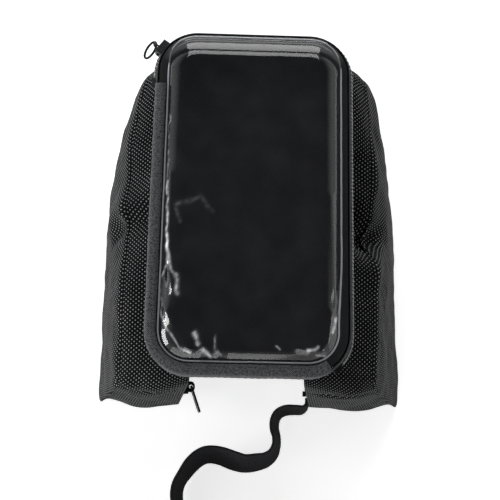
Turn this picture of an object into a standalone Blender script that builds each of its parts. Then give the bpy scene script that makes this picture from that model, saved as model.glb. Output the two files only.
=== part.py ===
"""Stem phone bag: a zipped phone pocket with a clear window, on a saddle between two panniers."""
import math

import bmesh
import bpy
from mathutils import Matrix, Vector

MM = 0.001

# Driving dimensions, in millimetres. The origin is the middle of the saddle's underside,
# +Y points to the front of the bicycle and the bag stands on its two panniers.
SEAM_GAP = 0.3
POCKET_HALF_WIDTH = 46.4
POCKET_HALF_LENGTH = 83.0
POCKET_CORNER = 19.0
POCKET_HEIGHT = 13.2
POCKET_WALL = 2.4
PAD_THICKNESS = 1.5
LID_THICKNESS = 1.6
LID_WIDTH = 4.6
FILM_THICKNESS = 0.5
FILM_RISE = 5.4
FILM_FLANGE = 4.9
BINDING_THICKNESS = 1.2
BINDING_WIDTH = 5.4
BINDING_DROP = 9.0
SADDLE_HALF_WIDTH = 38.0
SADDLE_LENGTH = 154.0
SADDLE_THICKNESS = 2.5
SADDLE_EDGE_LIFT = 0.9
SADDLE_PAD_LENGTH = 148.0
TUBE_GAP = 54.0
PANNIER_DEPTH = 75.0
PANNIER_REAR = -87.0
PANNIER_FRONT = 79.0
PANNIER_RIDGE = 62.0
RIDGE_DROP = 13.0
FRONT_LIFT = 48.0
BASE_FRONT = 11.0
INNER_SPLAY = 0.125
LEFT_OUTER_SPLAY = 0.24
RIGHT_OUTER_SPLAY = 0.33
LEFT_FRONT_TAPER = 9.0
RIGHT_FRONT_TAPER = 3.5
CLOTH = 1.6
REAR_STUFFING = 3.0
TOP_STUFFING = 2.5
FRONT_STUFFING = 5.0
SIDE_STUFFING = 4.0
LEFT_FIN_FLARE = 1.0
RIGHT_FIN_FLARE = 1.5
TAPE_THICKNESS = 0.8
TOOTH_PITCH = 2.5
COIL_RADIUS = 0.9
STRAP_WIDTH = 20.0
STRAP_THICKNESS = 1.4

# Heights that follow from them.
TRAY_BASE = SADDLE_THICKNESS + SEAM_GAP
TRAY_RIM = TRAY_BASE + POCKET_HEIGHT
LID_BASE = TRAY_RIM + SEAM_GAP
LID_TOP = LID_BASE + LID_THICKNESS
FILM_BASE = LID_TOP + SEAM_GAP
FILM_FLANGE_TOP = FILM_BASE + FILM_THICKNESS
BINDING_BASE = FILM_FLANGE_TOP + SEAM_GAP
PANNIER_TOP = SADDLE_EDGE_LIFT - SEAM_GAP
BINDING_FOOT = TRAY_BASE + POCKET_HEIGHT - BINDING_DROP
ZIP_HEIGHT = TRAY_BASE + 0.76 * POCKET_HEIGHT
INNER_TOP = TUBE_GAP / 2
FLOOR = -PANNIER_DEPTH

for old in list(bpy.data.objects):
    bpy.data.objects.remove(old)


def new_collection(name):
    collection = bpy.data.collections.new(name)
    bpy.context.scene.collection.children.link(collection)
    return collection


BAG = new_collection("stem_phone_bag")
GUIDES = new_collection("guides")


def new_material(name, colour, roughness, metallic=0.0):
    material = bpy.data.materials.new(name)
    material.use_nodes = True
    shader = material.node_tree.nodes["Principled BSDF"]
    shader.inputs["Base Color"].default_value = (*colour, 1.0)
    shader.inputs["Roughness"].default_value = roughness
    shader.inputs["Metallic"].default_value = metallic
    material.diffuse_color = (*colour, 1.0)
    return material


WEAVE = new_material("coarse_weave", (0.030, 0.030, 0.032), 0.75)
LINING = new_material("lining", (0.018, 0.018, 0.024), 0.85)
TWILL = new_material("binding_twill", (0.075, 0.080, 0.086), 0.80)
TAPE = new_material("zip_tape", (0.020, 0.024, 0.022), 0.85)
COIL = new_material("zip_coil", (0.012, 0.012, 0.013), 0.40)
CLEAR = new_material("clear_film", (0.80, 0.82, 0.85), 0.08)
SLIDER = new_material("slider_metal", (0.10, 0.10, 0.105), 0.35, 0.9)
WEBBING = new_material("strap_webbing", (0.022, 0.023, 0.026), 0.70)


def add_object(name, mesh, material, matrix=None, collection=BAG):
    """Put a mesh in the scene as one named piece."""
    piece = bpy.data.objects.new(name, mesh)
    collection.objects.link(piece)
    if matrix is not None:
        piece.matrix_world = matrix
    if material is not None:
        mesh.materials.append(material)
    return piece


def mesh_from(bm, name):
    mesh = bpy.data.meshes.new(name)
    bm.to_mesh(mesh)
    bm.free()
    return mesh


def baked_curve(name, curve):
    """The mesh of a curve, with its caps welded on."""
    guide = bpy.data.objects.new(name, curve)
    bpy.context.scene.collection.objects.link(guide)
    graph = bpy.context.evaluated_depsgraph_get()
    mesh = bpy.data.meshes.new_from_object(guide.evaluated_get(graph))
    mesh.name = name
    bpy.data.objects.remove(guide)
    bpy.data.curves.remove(curve)
    bm = bmesh.new()
    bm.from_mesh(mesh)
    bmesh.ops.remove_doubles(bm, verts=bm.verts, dist=0.00001)
    bm.to_mesh(mesh)
    bm.free()
    return mesh


def flat_mesh(name, loops, low, high):
    """A flat outline and its holes, extruded between two heights along local Z."""
    curve = bpy.data.curves.new(name, "CURVE")
    curve.dimensions = "2D"
    curve.fill_mode = "BOTH"
    curve.extrude = (high - low) / 2 * MM
    for loop in loops:
        spline = curve.splines.new("POLY")
        spline.points.add(len(loop) - 1)
        for point, place in zip(spline.points, loop):
            point.co = (place[0] * MM, place[1] * MM, 0.0, 1.0)
        spline.use_cyclic_u = True
    mesh = baked_curve(name, curve)
    mesh.transform(Matrix.Translation((0, 0, (high + low) / 2 * MM)))
    return mesh


def tube_mesh(name, points, radii, rounding=2, cyclic=False):
    """A round wire through the points, each with its own radius."""
    curve = bpy.data.curves.new(name, "CURVE")
    curve.dimensions = "3D"
    curve.bevel_depth = MM
    curve.bevel_resolution = rounding
    curve.use_fill_caps = True
    spline = curve.splines.new("POLY")
    spline.points.add(len(points) - 1)
    for point, place, radius in zip(spline.points, points, radii):
        point.co = (place[0] * MM, place[1] * MM, place[2] * MM, 1.0)
        point.radius = radius
    spline.use_cyclic_u = cyclic
    return baked_curve(name, curve)


def rectangle(x0, x1, y0, y1, radius=0.0, steps=4):
    """A rectangle with rounded corners, as a list of points."""
    if radius <= 0:
        return [(x0, y0), (x1, y0), (x1, y1), (x0, y1)]
    points = []
    corners = ((x1 - radius, y0 + radius, -90), (x1 - radius, y1 - radius, 0),
               (x0 + radius, y1 - radius, 90), (x0 + radius, y0 + radius, 180))
    for cx, cy, start in corners:
        for step in range(steps + 1):
            angle = math.radians(start + 90 * step / steps)
            points.append((cx + radius * math.cos(angle), cy + radius * math.sin(angle)))
    return points


def union(piece, helper):
    """Fuse a helper shape into a piece."""
    helper.hide_render = True
    helper.display_type = "WIRE"
    joined = piece.modifiers.new("fused_" + helper.name, "BOOLEAN")
    joined.operation = "UNION"
    joined.object = helper


# The pocket's wall line, run clockwise from the rear end of its left side. Everything on the
# rim is placed by its distance along this line and its offset outwards.
ARC = math.pi / 2 * POCKET_CORNER
SIDE = 2 * (POCKET_HALF_LENGTH - POCKET_CORNER)
END = 2 * (POCKET_HALF_WIDTH - POCKET_CORNER)
AROUND = 2 * (SIDE + END) + 4 * ARC


def wall_line(distance, offset=0.0):
    """Point (x, y) on the wall line, moved outwards by offset."""
    left = distance % AROUND
    px, py = -POCKET_HALF_WIDTH, -POCKET_HALF_LENGTH + POCKET_CORNER
    heading = math.pi / 2
    for straight in (SIDE, END, SIDE, END):
        if left <= straight:
            px += math.cos(heading) * left
            py += math.sin(heading) * left
            return (px - math.sin(heading) * offset, py + math.cos(heading) * offset)
        px += math.cos(heading) * straight
        py += math.sin(heading) * straight
        left -= straight
        cx = px + math.sin(heading) * POCKET_CORNER
        cy = py - math.cos(heading) * POCKET_CORNER
        turn = min(left, ARC) / POCKET_CORNER
        normal = heading + math.pi / 2 - turn
        if left <= ARC:
            reach = POCKET_CORNER + offset
            return (cx + math.cos(normal) * reach, cy + math.sin(normal) * reach)
        left -= ARC
        px = cx + math.cos(normal) * POCKET_CORNER
        py = cy + math.sin(normal) * POCKET_CORNER
        heading -= math.pi / 2
    return wall_line(0.0, offset)


def wall_loop(offset, steps=8):
    """The whole wall line moved by offset, with points only where it turns."""
    points = []
    start = SIDE
    for straight in (END, SIDE, END, SIDE):
        for step in range(steps + 1):
            points.append(wall_line(start + ARC * step / steps, offset))
        start += ARC + straight
    return points


def stations(first, last):
    """Distances from first to last along the wall line, close together on the corners only."""
    marks = {first, last}
    start = SIDE - AROUND
    while start < last:
        for straight in (END, SIDE, END, SIDE):
            for step in range(9):
                mark = start + ARC * step / 8
                if first < mark < last:
                    marks.add(mark)
            start += ARC + straight
    marks = sorted(marks)
    return [m for i, m in enumerate(marks) if i == 0 or m - marks[i - 1] > 0.3]


def rim_strip(name, first, last, section, thickness, material):
    """A strip of cloth along the wall line: an open section of (offset, height), solidified."""
    bm = bmesh.new()
    rows = []
    for mark in stations(first, last):
        row = []
        for offset, height in section:
            x, y = wall_line(mark, offset)
            row.append(bm.verts.new((x * MM, y * MM, height * MM)))
        rows.append(row)
    for a, b in zip(rows, rows[1:]):
        for k in range(len(section) - 1):
            bm.faces.new((a[k], b[k], b[k + 1], a[k + 1]))
    piece = add_object(name, mesh_from(bm, name), material)
    shell = piece.modifiers.new("cloth", "SOLIDIFY")
    shell.thickness = thickness * MM
    shell.offset = 0.0
    shell.use_even_offset = True
    return piece


def saddle():
    """A padded middle that lies on the tube, with its edges pressed thin over the panniers."""
    half = SADDLE_LENGTH / 2
    outline = rectangle(-SADDLE_HALF_WIDTH, SADDLE_HALF_WIDTH, -half, half, 12.0, 5)
    mesh = flat_mesh("saddle_panel", [outline], SADDLE_EDGE_LIFT, SADDLE_THICKNESS)
    panel = add_object("saddle_panel", mesh, WEAVE)
    pad_half = TUBE_GAP / 2 - 2 * SEAM_GAP
    outline = rectangle(-pad_half, pad_half, -SADDLE_PAD_LENGTH / 2, SADDLE_PAD_LENGTH / 2, 6.0, 4)
    mesh = flat_mesh("saddle_pad", [outline], 0.0, (SADDLE_EDGE_LIFT + SADDLE_THICKNESS) / 2)
    union(panel, add_object("saddle_pad", mesh, None, None, GUIDES))


def bridged(bm, loops):
    """Verts for a stack of loops of equal length, joined by quads."""
    rings = [[bm.verts.new((x * MM, y * MM, z * MM)) for x, y, z in loop] for loop in loops]
    count = len(rings[0])
    for lower, upper in zip(rings, rings[1:]):
        for k in range(count):
            n = (k + 1) % count
            bm.faces.new((lower[k], lower[n], upper[n], upper[k]))
    return rings


def pocket_tray():
    """The shallow moulded tray: a base with rounded foot and a wall, open at the top."""
    foot = 2.0
    levels = ((-foot, TRAY_BASE), (-0.6, TRAY_BASE + 0.6), (0.0, TRAY_BASE + foot), (0.0, TRAY_RIM))
    bm = bmesh.new()
    rings = bridged(bm, [[(x, y, z) for x, y in wall_loop(offset)] for offset, z in levels])
    bm.faces.new(rings[0])
    bmesh.ops.recalc_face_normals(bm, faces=bm.faces)
    if rings[-1][0].link_faces[0].normal.dot(rings[-1][0].co) < 0:
        bmesh.ops.reverse_faces(bm, faces=bm.faces)
    tray = add_object("pocket_tray", mesh_from(bm, "pocket_tray"), WEAVE)
    shell = tray.modifiers.new("wall", "SOLIDIFY")
    shell.thickness = POCKET_WALL * MM
    shell.offset = -1.0
    shell.use_even_offset = True


def pocket_pad():
    base = TRAY_BASE + POCKET_WALL + SEAM_GAP
    outline = wall_loop(-POCKET_WALL - 1.0, 6)
    add_object("pocket_pad", flat_mesh("pocket_pad", [outline], base, base + PAD_THICKNESS), LINING)


def lid_frame():
    loops = [wall_loop(-0.2), wall_loop(-LID_WIDTH)]
    add_object("lid_frame", flat_mesh("lid_frame", loops, LID_BASE, LID_TOP), TAPE)


def window_film():
    """The clear window, formed with a flat flange and a raised middle."""
    top = FILM_BASE + FILM_RISE
    levels = ((-0.4, FILM_BASE), (-FILM_FLANGE, FILM_BASE), (-FILM_FLANGE - 1.8, FILM_BASE + 0.3 * FILM_RISE),
              (-FILM_FLANGE - 4.0, FILM_BASE + 0.74 * FILM_RISE), (-FILM_FLANGE - 6.4, top - 0.3),
              (-FILM_FLANGE - 9.4, top))
    bm = bmesh.new()
    rings = bridged(bm, [[(x, y, z) for x, y in wall_loop(offset)] for offset, z in levels])
    bm.faces.new(rings[-1])
    bmesh.ops.recalc_face_normals(bm, faces=bm.faces)
    film = add_object("window_film", mesh_from(bm, "window_film"), CLEAR)
    shell = film.modifiers.new("film", "SOLIDIFY")
    shell.thickness = FILM_THICKNESS * MM
    shell.offset = 1.0 if film.data.polygons[-1].normal.z > 0 else -1.0
    shell.use_even_offset = True


# The zip opens the front, the right side and the front end of the left side. The binding
# holds the lid to the tray along the rest of the left side and the rear.
ZIP_START = SIDE - 7.0
ZIP_END = SIDE + ARC + END + ARC + SIDE + 0.6 * ARC
STOP_LENGTH = 4.0
TAPE_BULGE = 1.1
COIL_OFFSET = TAPE_BULGE + TAPE_THICKNESS / 2 + SEAM_GAP + COIL_RADIUS


def edge_binding():
    half = BINDING_THICKNESS / 2
    top = BINDING_BASE + half
    out = SEAM_GAP + half
    inner = SEAM_GAP + BINDING_THICKNESS - BINDING_WIDTH
    section = ((inner, top), (inner / 2, top), (out, top), (out, BINDING_FOOT))
    first = ZIP_END + 1.0
    last = AROUND + ZIP_START - 1.0
    rim_strip("edge_binding", first, last, section, BINDING_THICKNESS, TWILL)


def pocket_zip():
    half = TAPE_THICKNESS / 2
    low, high = TRAY_BASE + 2.5, LID_TOP + 0.2
    section = ((SEAM_GAP + half, high), (TAPE_BULGE, ZIP_HEIGHT + 1.6),
               (TAPE_BULGE, ZIP_HEIGHT - 1.6), (SEAM_GAP + half, low))
    rim_strip("pocket_zip_tape", ZIP_START, ZIP_END, section, TAPE_THICKNESS, TAPE)
    first, last = ZIP_START + STOP_LENGTH + SEAM_GAP, ZIP_END - STOP_LENGTH - SEAM_GAP
    teeth = int((last - first) / TOOTH_PITCH)
    points, radii = [], []
    for k in range(2 * teeth + 1):
        x, y = wall_line(first + (last - first) * k / (2 * teeth), COIL_OFFSET)
        points.append((x, y, ZIP_HEIGHT))
        radii.append(COIL_RADIUS if k % 2 == 0 else 0.72 * COIL_RADIUS)
    add_object("pocket_zip_coil", tube_mesh("pocket_zip_coil", points, radii, 1), COIL)
    low, high = ZIP_HEIGHT - 1.5, ZIP_HEIGHT + 1.5
    face = TAPE_BULGE + half + SEAM_GAP
    for name, start in (("pocket_zip_stop_left", ZIP_START), ("pocket_zip_stop_right", ZIP_END - STOP_LENGTH)):
        marks = [start + STOP_LENGTH * k / 4 for k in range(5)]
        outline = [wall_line(m, face) for m in marks] + [wall_line(m, face + 1.8) for m in reversed(marks)]
        add_object(name, flat_mesh(name, [outline], low, high), SLIDER)


# Sliders are made in a zip frame: X along the chain, Y across it, Z out from the tape, with
# the origin on the tape's outer face.
COIL_RISE = SEAM_GAP + COIL_RADIUS
SLIDER_LENGTH = 7.6
SLIDER_HALF_WIDTH = 2.7
SLIDER_WALL = 0.9
CHANNEL_TOP = COIL_RISE + COIL_RADIUS + 0.6
SLIDER_TOP = CHANNEL_TOP + 1.0
EYE_HEIGHT = SLIDER_TOP + 1.5
CROWN_HALF_WIDTH = 0.7


def channel_mesh(name):
    """The slider's body: a channel over the coil."""
    w, v = SLIDER_HALF_WIDTH, SLIDER_HALF_WIDTH - SLIDER_WALL
    outline = [(-w, SEAM_GAP), (-v, SEAM_GAP), (-v, CHANNEL_TOP), (v, CHANNEL_TOP), (v, SEAM_GAP),
               (w, SEAM_GAP), (w, SLIDER_TOP - 0.5), (w - 0.5, SLIDER_TOP), (0.5 - w, SLIDER_TOP),
               (-w, SLIDER_TOP - 0.5)]
    mesh = flat_mesh(name, [outline], -SLIDER_LENGTH / 2, SLIDER_LENGTH / 2)
    mesh.transform(Matrix(((0, 0, 1, 0), (1, 0, 0, 0), (0, 1, 0, 0), (0, 0, 0, 1))))
    return mesh


def crowned_slider(name, matrix):
    """Slider with a lengthwise crown, whose eye carries the pull's cross bar."""
    body = add_object(name, channel_mesh(name), SLIDER, matrix)
    arch = [(-2.9, SLIDER_TOP - 0.4), (2.9, SLIDER_TOP - 0.4)]
    for step in range(7):
        angle = math.pi * step / 6
        arch.append((2.9 * math.cos(angle), EYE_HEIGHT + 0.1 + 2.0 * math.sin(angle)))
    eye = [(1.15 * math.cos(math.tau * k / 10), EYE_HEIGHT + 1.15 * math.sin(math.tau * k / 10))
           for k in range(10)]
    mesh = flat_mesh(name + "_crown", [arch, eye], -CROWN_HALF_WIDTH, CROWN_HALF_WIDTH)
    mesh.transform(Matrix(((1, 0, 0, 0), (0, 0, -1, 0), (0, 1, 0, 0), (0, 0, 0, 1))))
    union(body, add_object(name + "_crown", mesh, None, matrix, GUIDES))


PULL_LENGTH = 14.5
PULL_HALF_WIDTH = 3.4
PULL_THICKNESS = 1.1


def tab_pull(name, matrix):
    """Flat pull tab in the plane of the hinge axis (local Y), pointing along local X."""
    outline = rectangle(-0.6, PULL_LENGTH, -PULL_HALF_WIDTH, PULL_HALF_WIDTH, 1.2, 3)
    root = rectangle(0.6, 4.9, -1.5, 1.5)
    slot = rectangle(6.6, PULL_LENGTH - 2.6, -1.5, 1.5, 0.6, 2)
    half = PULL_THICKNESS / 2
    mesh = flat_mesh(name, [outline, root, slot], -half, half)
    add_object(name, mesh, SLIDER, matrix)


STAPLE_RISE = 3.1
RING_LENGTH = 11.0
RING_HALF_WIDTH = 1.9
RING_WIRE = 0.6
RING_SWING = -9.0

# The pocket's slider sits on the front left corner and turns about the corner's centre.
SLIDER_ANGLE = math.radians(144)
CORNER_CENTRE = (-POCKET_HALF_WIDTH + POCKET_CORNER, POCKET_HALF_LENGTH - POCKET_CORNER)


def pocket_slider():
    radius = POCKET_CORNER + TAPE_BULGE + TAPE_THICKNESS / 2
    out = Vector((math.cos(SLIDER_ANGLE), math.sin(SLIDER_ANGLE), 0))
    up = Vector((0, 0, 1))
    along = up.cross(out)
    place = Vector((CORNER_CENTRE[0], CORNER_CENTRE[1], ZIP_HEIGHT)) + out * radius
    frame = Matrix.Translation(place * MM) @ Matrix((along, up, out)).transposed().to_4x4()
    body = add_object("pocket_zip_slider", channel_mesh("pocket_zip_slider"), SLIDER, frame)
    staple = [(0.6, -1.9, SLIDER_TOP - 0.5), (0.6, -1.9, SLIDER_TOP + STAPLE_RISE),
              (0.6, 1.9, SLIDER_TOP + STAPLE_RISE), (0.6, 1.9, SLIDER_TOP - 0.5)]
    mesh = tube_mesh("pocket_zip_staple", staple, [0.5] * 4, 2)
    union(body, add_object("pocket_zip_staple", mesh, None, frame, GUIDES))
    # The pull is an oval link round the staple's upright, lying back along the chain.
    link = Matrix.Translation(Vector((0.6, 0, SLIDER_TOP + STAPLE_RISE)) * MM)
    swing = Matrix.Rotation(math.radians(-RING_SWING), 4, "Y")
    lie_flat = Matrix.Rotation(math.radians(90), 4, "X")
    points = []
    for k in range(20):
        angle = math.tau * k / 20
        reach = RING_LENGTH / 2 - RING_WIRE
        points.append((reach - 1.25 + reach * math.cos(angle), RING_HALF_WIDTH * math.sin(angle), 0))
    mesh = tube_mesh("pocket_zip_pull", points, [RING_WIRE] * 20, 2, True)
    add_object("pocket_zip_pull", mesh, SLIDER, frame @ link @ swing @ lie_flat)


# Each pannier is a stuffed bag between an inner panel, flat against the frame tube, and an
# outer panel that leans out. A gusset runs right round between the two.
ARC_STEPS = 4
EDGE_STEPS = 5
GUSSET_COLUMNS = 6


def side_outline(corners):
    """Points (y, z) of a polygon with rounded corners, the same count for equal corner counts."""
    points = []
    total = len(corners)
    for k in range(total):
        here = Vector(corners[k][:2])
        before = Vector(corners[k - 1][:2])
        after = Vector(corners[(k + 1) % total][:2])
        following = corners[(k + 1) % total]
        a, b = (before - here).normalized(), (after - here).normalized()
        half_angle = a.angle(b) / 2
        radius = corners[k][2]
        reach = radius / math.tan(half_angle)
        centre = here + (a + b).normalized() * (radius / math.sin(half_angle))
        first, last = here + a * reach - centre, here + b * reach - centre
        sweep = first.angle_signed(last)
        for step in range(ARC_STEPS + 1):
            turn = Matrix.Rotation(-sweep * step / ARC_STEPS, 2)
            points.append(centre + turn @ first)
        start = points[-1]
        nxt = Vector(following[:2])
        past = Vector(corners[(k + 2) % total][:2])
        c, d = (here - nxt).normalized(), (past - nxt).normalized()
        goal = nxt + c * (following[2] / math.tan(c.angle(d) / 2))
        for step in range(1, EDGE_STEPS):
            points.append(start.lerp(goal, step / EDGE_STEPS))
    return points


def inner_outline(lift=0.0):
    top, bottom = PANNIER_TOP, FLOOR + lift
    return side_outline([
        (PANNIER_REAR + 1, top, 6), (PANNIER_FRONT, top, 8),
        (PANNIER_FRONT + 3, bottom + FRONT_LIFT + 4, 8), (BASE_FRONT, bottom, 18),
        (PANNIER_REAR - 7, bottom, 9)])


def outer_outline(ear=0.0):
    top, bottom = -RIDGE_DROP, FLOOR + (0.3 if ear else 0.0)
    return side_outline([
        (PANNIER_REAR, top, 8), (PANNIER_FRONT - 3, top, 8),
        (PANNIER_FRONT, bottom + FRONT_LIFT, 7), (BASE_FRONT, bottom, 18),
        (PANNIER_REAR - 4 - ear, bottom, 10 if not ear else 3)])


def inner_x(z):
    return INNER_TOP - z * INNER_SPLAY


def smooth(t):
    t = min(max(t, 0.0), 1.0)
    return t * t * (3 - 2 * t)


def outer_splay(side):
    return LEFT_OUTER_SPLAY if side < 0 else RIGHT_OUTER_SPLAY


def outer_x(side, y, z):
    """Distance of a side's outer panel from the middle plane."""
    taper = LEFT_FRONT_TAPER if side < 0 else RIGHT_FRONT_TAPER
    flare = LEFT_FIN_FLARE if side < 0 else RIGHT_FIN_FLARE
    lean = (-RIDGE_DROP - z) * outer_splay(side)
    forward = max(0.0, (y - BASE_FRONT) / (PANNIER_FRONT - BASE_FRONT))
    rear = smooth((PANNIER_REAR + 40 - y) / 40) * smooth((FLOOR + 45 - z) / 40)
    return PANNIER_RIDGE + lean - taper * forward ** 2.2 + flare * rear


def solidified(name, bm, thickness, material, outward):
    """A sheet whose outer face is the modelled one; outward is a direction it faces."""
    bm.normal_update()
    total = sum((f.normal.dot(outward(f.calc_center_median())) * f.calc_area() for f in bm.faces), 0.0)
    if total < 0:
        bmesh.ops.reverse_faces(bm, faces=bm.faces)
    piece = add_object(name, mesh_from(bm, name), material)
    shell = piece.modifiers.new("cloth", "SOLIDIFY")
    shell.thickness = thickness * MM
    shell.offset = -1.0
    shell.use_even_offset = True
    return piece


def gusset(name, side):
    inner = inner_outline()
    outer = outer_outline()
    count = len(inner)
    clear_in = CLOTH * (1 + 2 * INNER_SPLAY) + SEAM_GAP
    clear_out = CLOTH * outer_splay(side) + SEAM_GAP + 0.1
    loops = []
    for column in range(GUSSET_COLUMNS + 1):
        w = column / GUSSET_COLUMNS
        loop = []
        for k in range(count):
            a, b = inner[k], outer[k]
            ahead = inner[(k + 1) % count].lerp(outer[(k + 1) % count], w)
            behind = inner[k - 1].lerp(outer[k - 1], w)
            tangent = (ahead - behind).normalized()
            normal = Vector((-tangent.y, tangent.x))
            swell = (REAR_STUFFING * max(0.0, -normal.x) ** 2 + FRONT_STUFFING * max(0.0, normal.x) ** 2
                     + TOP_STUFFING * max(0.0, normal.y) ** 2)
            place = a.lerp(b, w) + normal * swell * math.sin(math.pi * w)
            start = inner_x(a.y) + clear_in
            x = start + (outer_x(side, b.x, b.y) - clear_out - start) * w
            loop.append((side * x, place.x, place.y))
        loops.append(loop)
    bm = bmesh.new()
    bridged(bm, loops)
    middle = Vector((side * 55, -10, -40)) * MM
    solidified(name, bm, CLOTH, WEAVE, lambda at: at - middle)


def outer_panel(name, side):
    """The side away from the frame: stuffed outwards, with a flat ear at its rear foot."""
    outline = outer_outline(3.0)
    count = len(outline)
    centre = Vector((sum(p.x for p in outline) / count, sum(p.y for p in outline) / count))
    bm = bmesh.new()
    loops = []
    for scale in (1.0, 0.82, 0.6, 0.32):
        loop = []
        for point in outline:
            at = centre + (point - centre) * scale
            swell = SIDE_STUFFING * (1 - scale ** 2)
            loop.append((side * (outer_x(side, at.x, at.y) + CLOTH + swell), at.x, at.y))
        loops.append(loop)
    rings = bridged(bm, loops)
    hub = bm.verts.new((side * (outer_x(side, centre.x, centre.y) + CLOTH + SIDE_STUFFING) * MM,
                        centre.x * MM, centre.y * MM))
    for k in range(count):
        bm.faces.new((rings[-1][k], rings[-1][(k + 1) % count], hub))
    solidified(name, bm, CLOTH, WEAVE, lambda at: Vector((side, 0, 0)))


# The pannier's zip lies low along the inner panel.
PANNIER_ZIP_HEIGHT = FLOOR + 11.0
PANNIER_ZIP_REAR = PANNIER_REAR - 1.2
PANNIER_ZIP_FRONT = BASE_FRONT + 3.0
PANNIER_TAPE_WIDTH = 12.0
SLOT_HALF_WIDTH = 2.6


def inner_frame(side, y, z):
    """Zip frame on the inner panel: out points to the gap between the panniers."""
    up = Vector((-side * INNER_SPLAY, 0, 1)).normalized()
    along = Vector((0, -side, 0))
    out = along.cross(up)
    place = Vector((side * inner_x(z), y, z)) * MM
    return Matrix.Translation(place) @ Matrix((along, up, out)).transposed().to_4x4()


def inner_panel(name, side):
    stretch = math.hypot(1, INNER_SPLAY)
    outline = [(-side * p.x, p.y * stretch) for p in inner_outline(0.3)]
    level = PANNIER_ZIP_HEIGHT * stretch
    ends = sorted((-side * (PANNIER_ZIP_REAR + 8), -side * (PANNIER_ZIP_FRONT - 4)))
    slot = rectangle(ends[0], ends[1], level - SLOT_HALF_WIDTH, level + SLOT_HALF_WIDTH, 2.0, 3)
    mesh = flat_mesh(name, [outline, slot], -CLOTH, 0.0)
    add_object(name, mesh, WEAVE, inner_frame(side, 0.0, 0.0))


def pannier_zip(prefix, side, slider_y, swing):
    frame = inner_frame(side, 0.0, PANNIER_ZIP_HEIGHT)
    ends = sorted((-side * PANNIER_ZIP_REAR, -side * PANNIER_ZIP_FRONT))
    half = PANNIER_TAPE_WIDTH / 2
    face = SEAM_GAP + TAPE_THICKNESS
    tape = rectangle(ends[0], ends[1], -half, half, 1.5, 3)
    add_object(prefix + "_zip_tape", flat_mesh(prefix + "_zip_tape", [tape], SEAM_GAP, face), TAPE, frame)
    first, last = ends[0] + STOP_LENGTH, ends[1] - STOP_LENGTH
    teeth = int((last - first) / TOOTH_PITCH)
    points, radii = [], []
    for k in range(2 * teeth + 1):
        points.append((first + (last - first) * k / (2 * teeth), 0.0, face + COIL_RISE))
        radii.append(COIL_RADIUS if k % 2 == 0 else 0.72 * COIL_RADIUS)
    mesh = tube_mesh(prefix + "_zip_coil", points, radii, 1)
    add_object(prefix + "_zip_coil", mesh, COIL, frame)
    for name, start in (("_zip_stop_rear", PANNIER_ZIP_REAR + 2), ("_zip_stop_front", PANNIER_ZIP_FRONT - 2)):
        middle = -side * start
        block = rectangle(middle - 1.4, middle + 1.4, -1.5, 1.5)
        mesh = flat_mesh(prefix + name, [block], face + SEAM_GAP, face + SEAM_GAP + 1.8)
        add_object(prefix + name, mesh, SLIDER, frame)
    seat = inner_frame(side, slider_y, PANNIER_ZIP_HEIGHT) @ Matrix.Translation((0, 0, face * MM))
    crowned_slider(prefix + "_zip_slider", seat)
    eye = Matrix.Translation((0, 0, EYE_HEIGHT * MM))
    # The tab's X axis points to the rear and swings out of the panel by the given angle.
    turn = Matrix.Rotation(math.radians(swing if side > 0 else 180 - swing), 4, "Y")
    tab_pull(prefix + "_zip_pull", seat @ eye @ turn.inverted())


def pannier(prefix, side, slider_y, swing):
    gusset(prefix + "_gusset", side)
    outer_panel(prefix + "_outer_panel", side)
    inner_panel(prefix + "_inner_panel", side)
    pannier_zip(prefix, side, slider_y, swing)


# The rear strap is caught in the seam at the rear foot of the right pannier's inner panel and
# stands on its edge on the ground. Each point is measured from that foot: to the side, to the
# front, height of the strap's lower edge, and its lean in degrees.
STRAP_LEAN = math.degrees(math.atan(INNER_SPLAY))
STRAP_SEAT = inner_x(FLOOR + 0.5) - inner_x(FLOOR) - (
    (SEAM_GAP + STRAP_THICKNESS / 2 + 0.05) * math.hypot(1, INNER_SPLAY))
STRAP_ROUTE = (
    (STRAP_SEAT, -1.8, 0.5, STRAP_LEAN), (STRAP_SEAT, -4.4, 0.5, STRAP_LEAN), (-1.7, -7.2, 0.5, 8),
    (-4.6, -9.4, 0.5, 9), (-9.4, -9.6, 0.5, 10), (-13.8, -10.4, 0.5, 12), (-16.6, -12.9, 0.5, 14),
    (-17.2, -17.2, 0.5, 14), (-16.2, -22.0, 0.5, 13), (-16.1, -27.4, 0.5, 14), (-17.9, -33.2, 0.5, 18),
    (-22.2, -37.6, 0.5, 22), (-28.0, -39.9, 0.5, 25), (-35.5, -40.9, 0.5, 26), (-42.6, -39.5, 0.5, 27),
    (-49.0, -37.2, 0.5, 26), (-54.8, -36.4, 0.5, 24), (-59.6, -39.0, 0.5, 22), (-64.0, -43.6, 0.5, 18),
    (-67.6, -49.0, 0.5, 15), (-68.4, -55.2, 0.5, 13), (-66.4, -62.0, 0.5, 11), (-62.2, -68.4, 0.5, 10),
    (-57.2, -74.2, 0.5, 10))


def curve_through(points, steps):
    """Catmull-Rom points through a route."""
    line = []
    for k in range(len(points) - 1):
        p0, p1 = points[max(k - 1, 0)], points[k]
        p2, p3 = points[k + 1], points[min(k + 2, len(points) - 1)]
        for step in range(steps):
            t = step / steps
            line.append([0.5 * (2 * b + (c - a) * t + (2 * a - 5 * b + 4 * c - d) * t * t
                                + (3 * b - a - 3 * c + d) * t ** 3)
                         for a, b, c, d in zip(p0, p1, p2, p3)])
    line.append(list(points[-1]))
    return line


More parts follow.
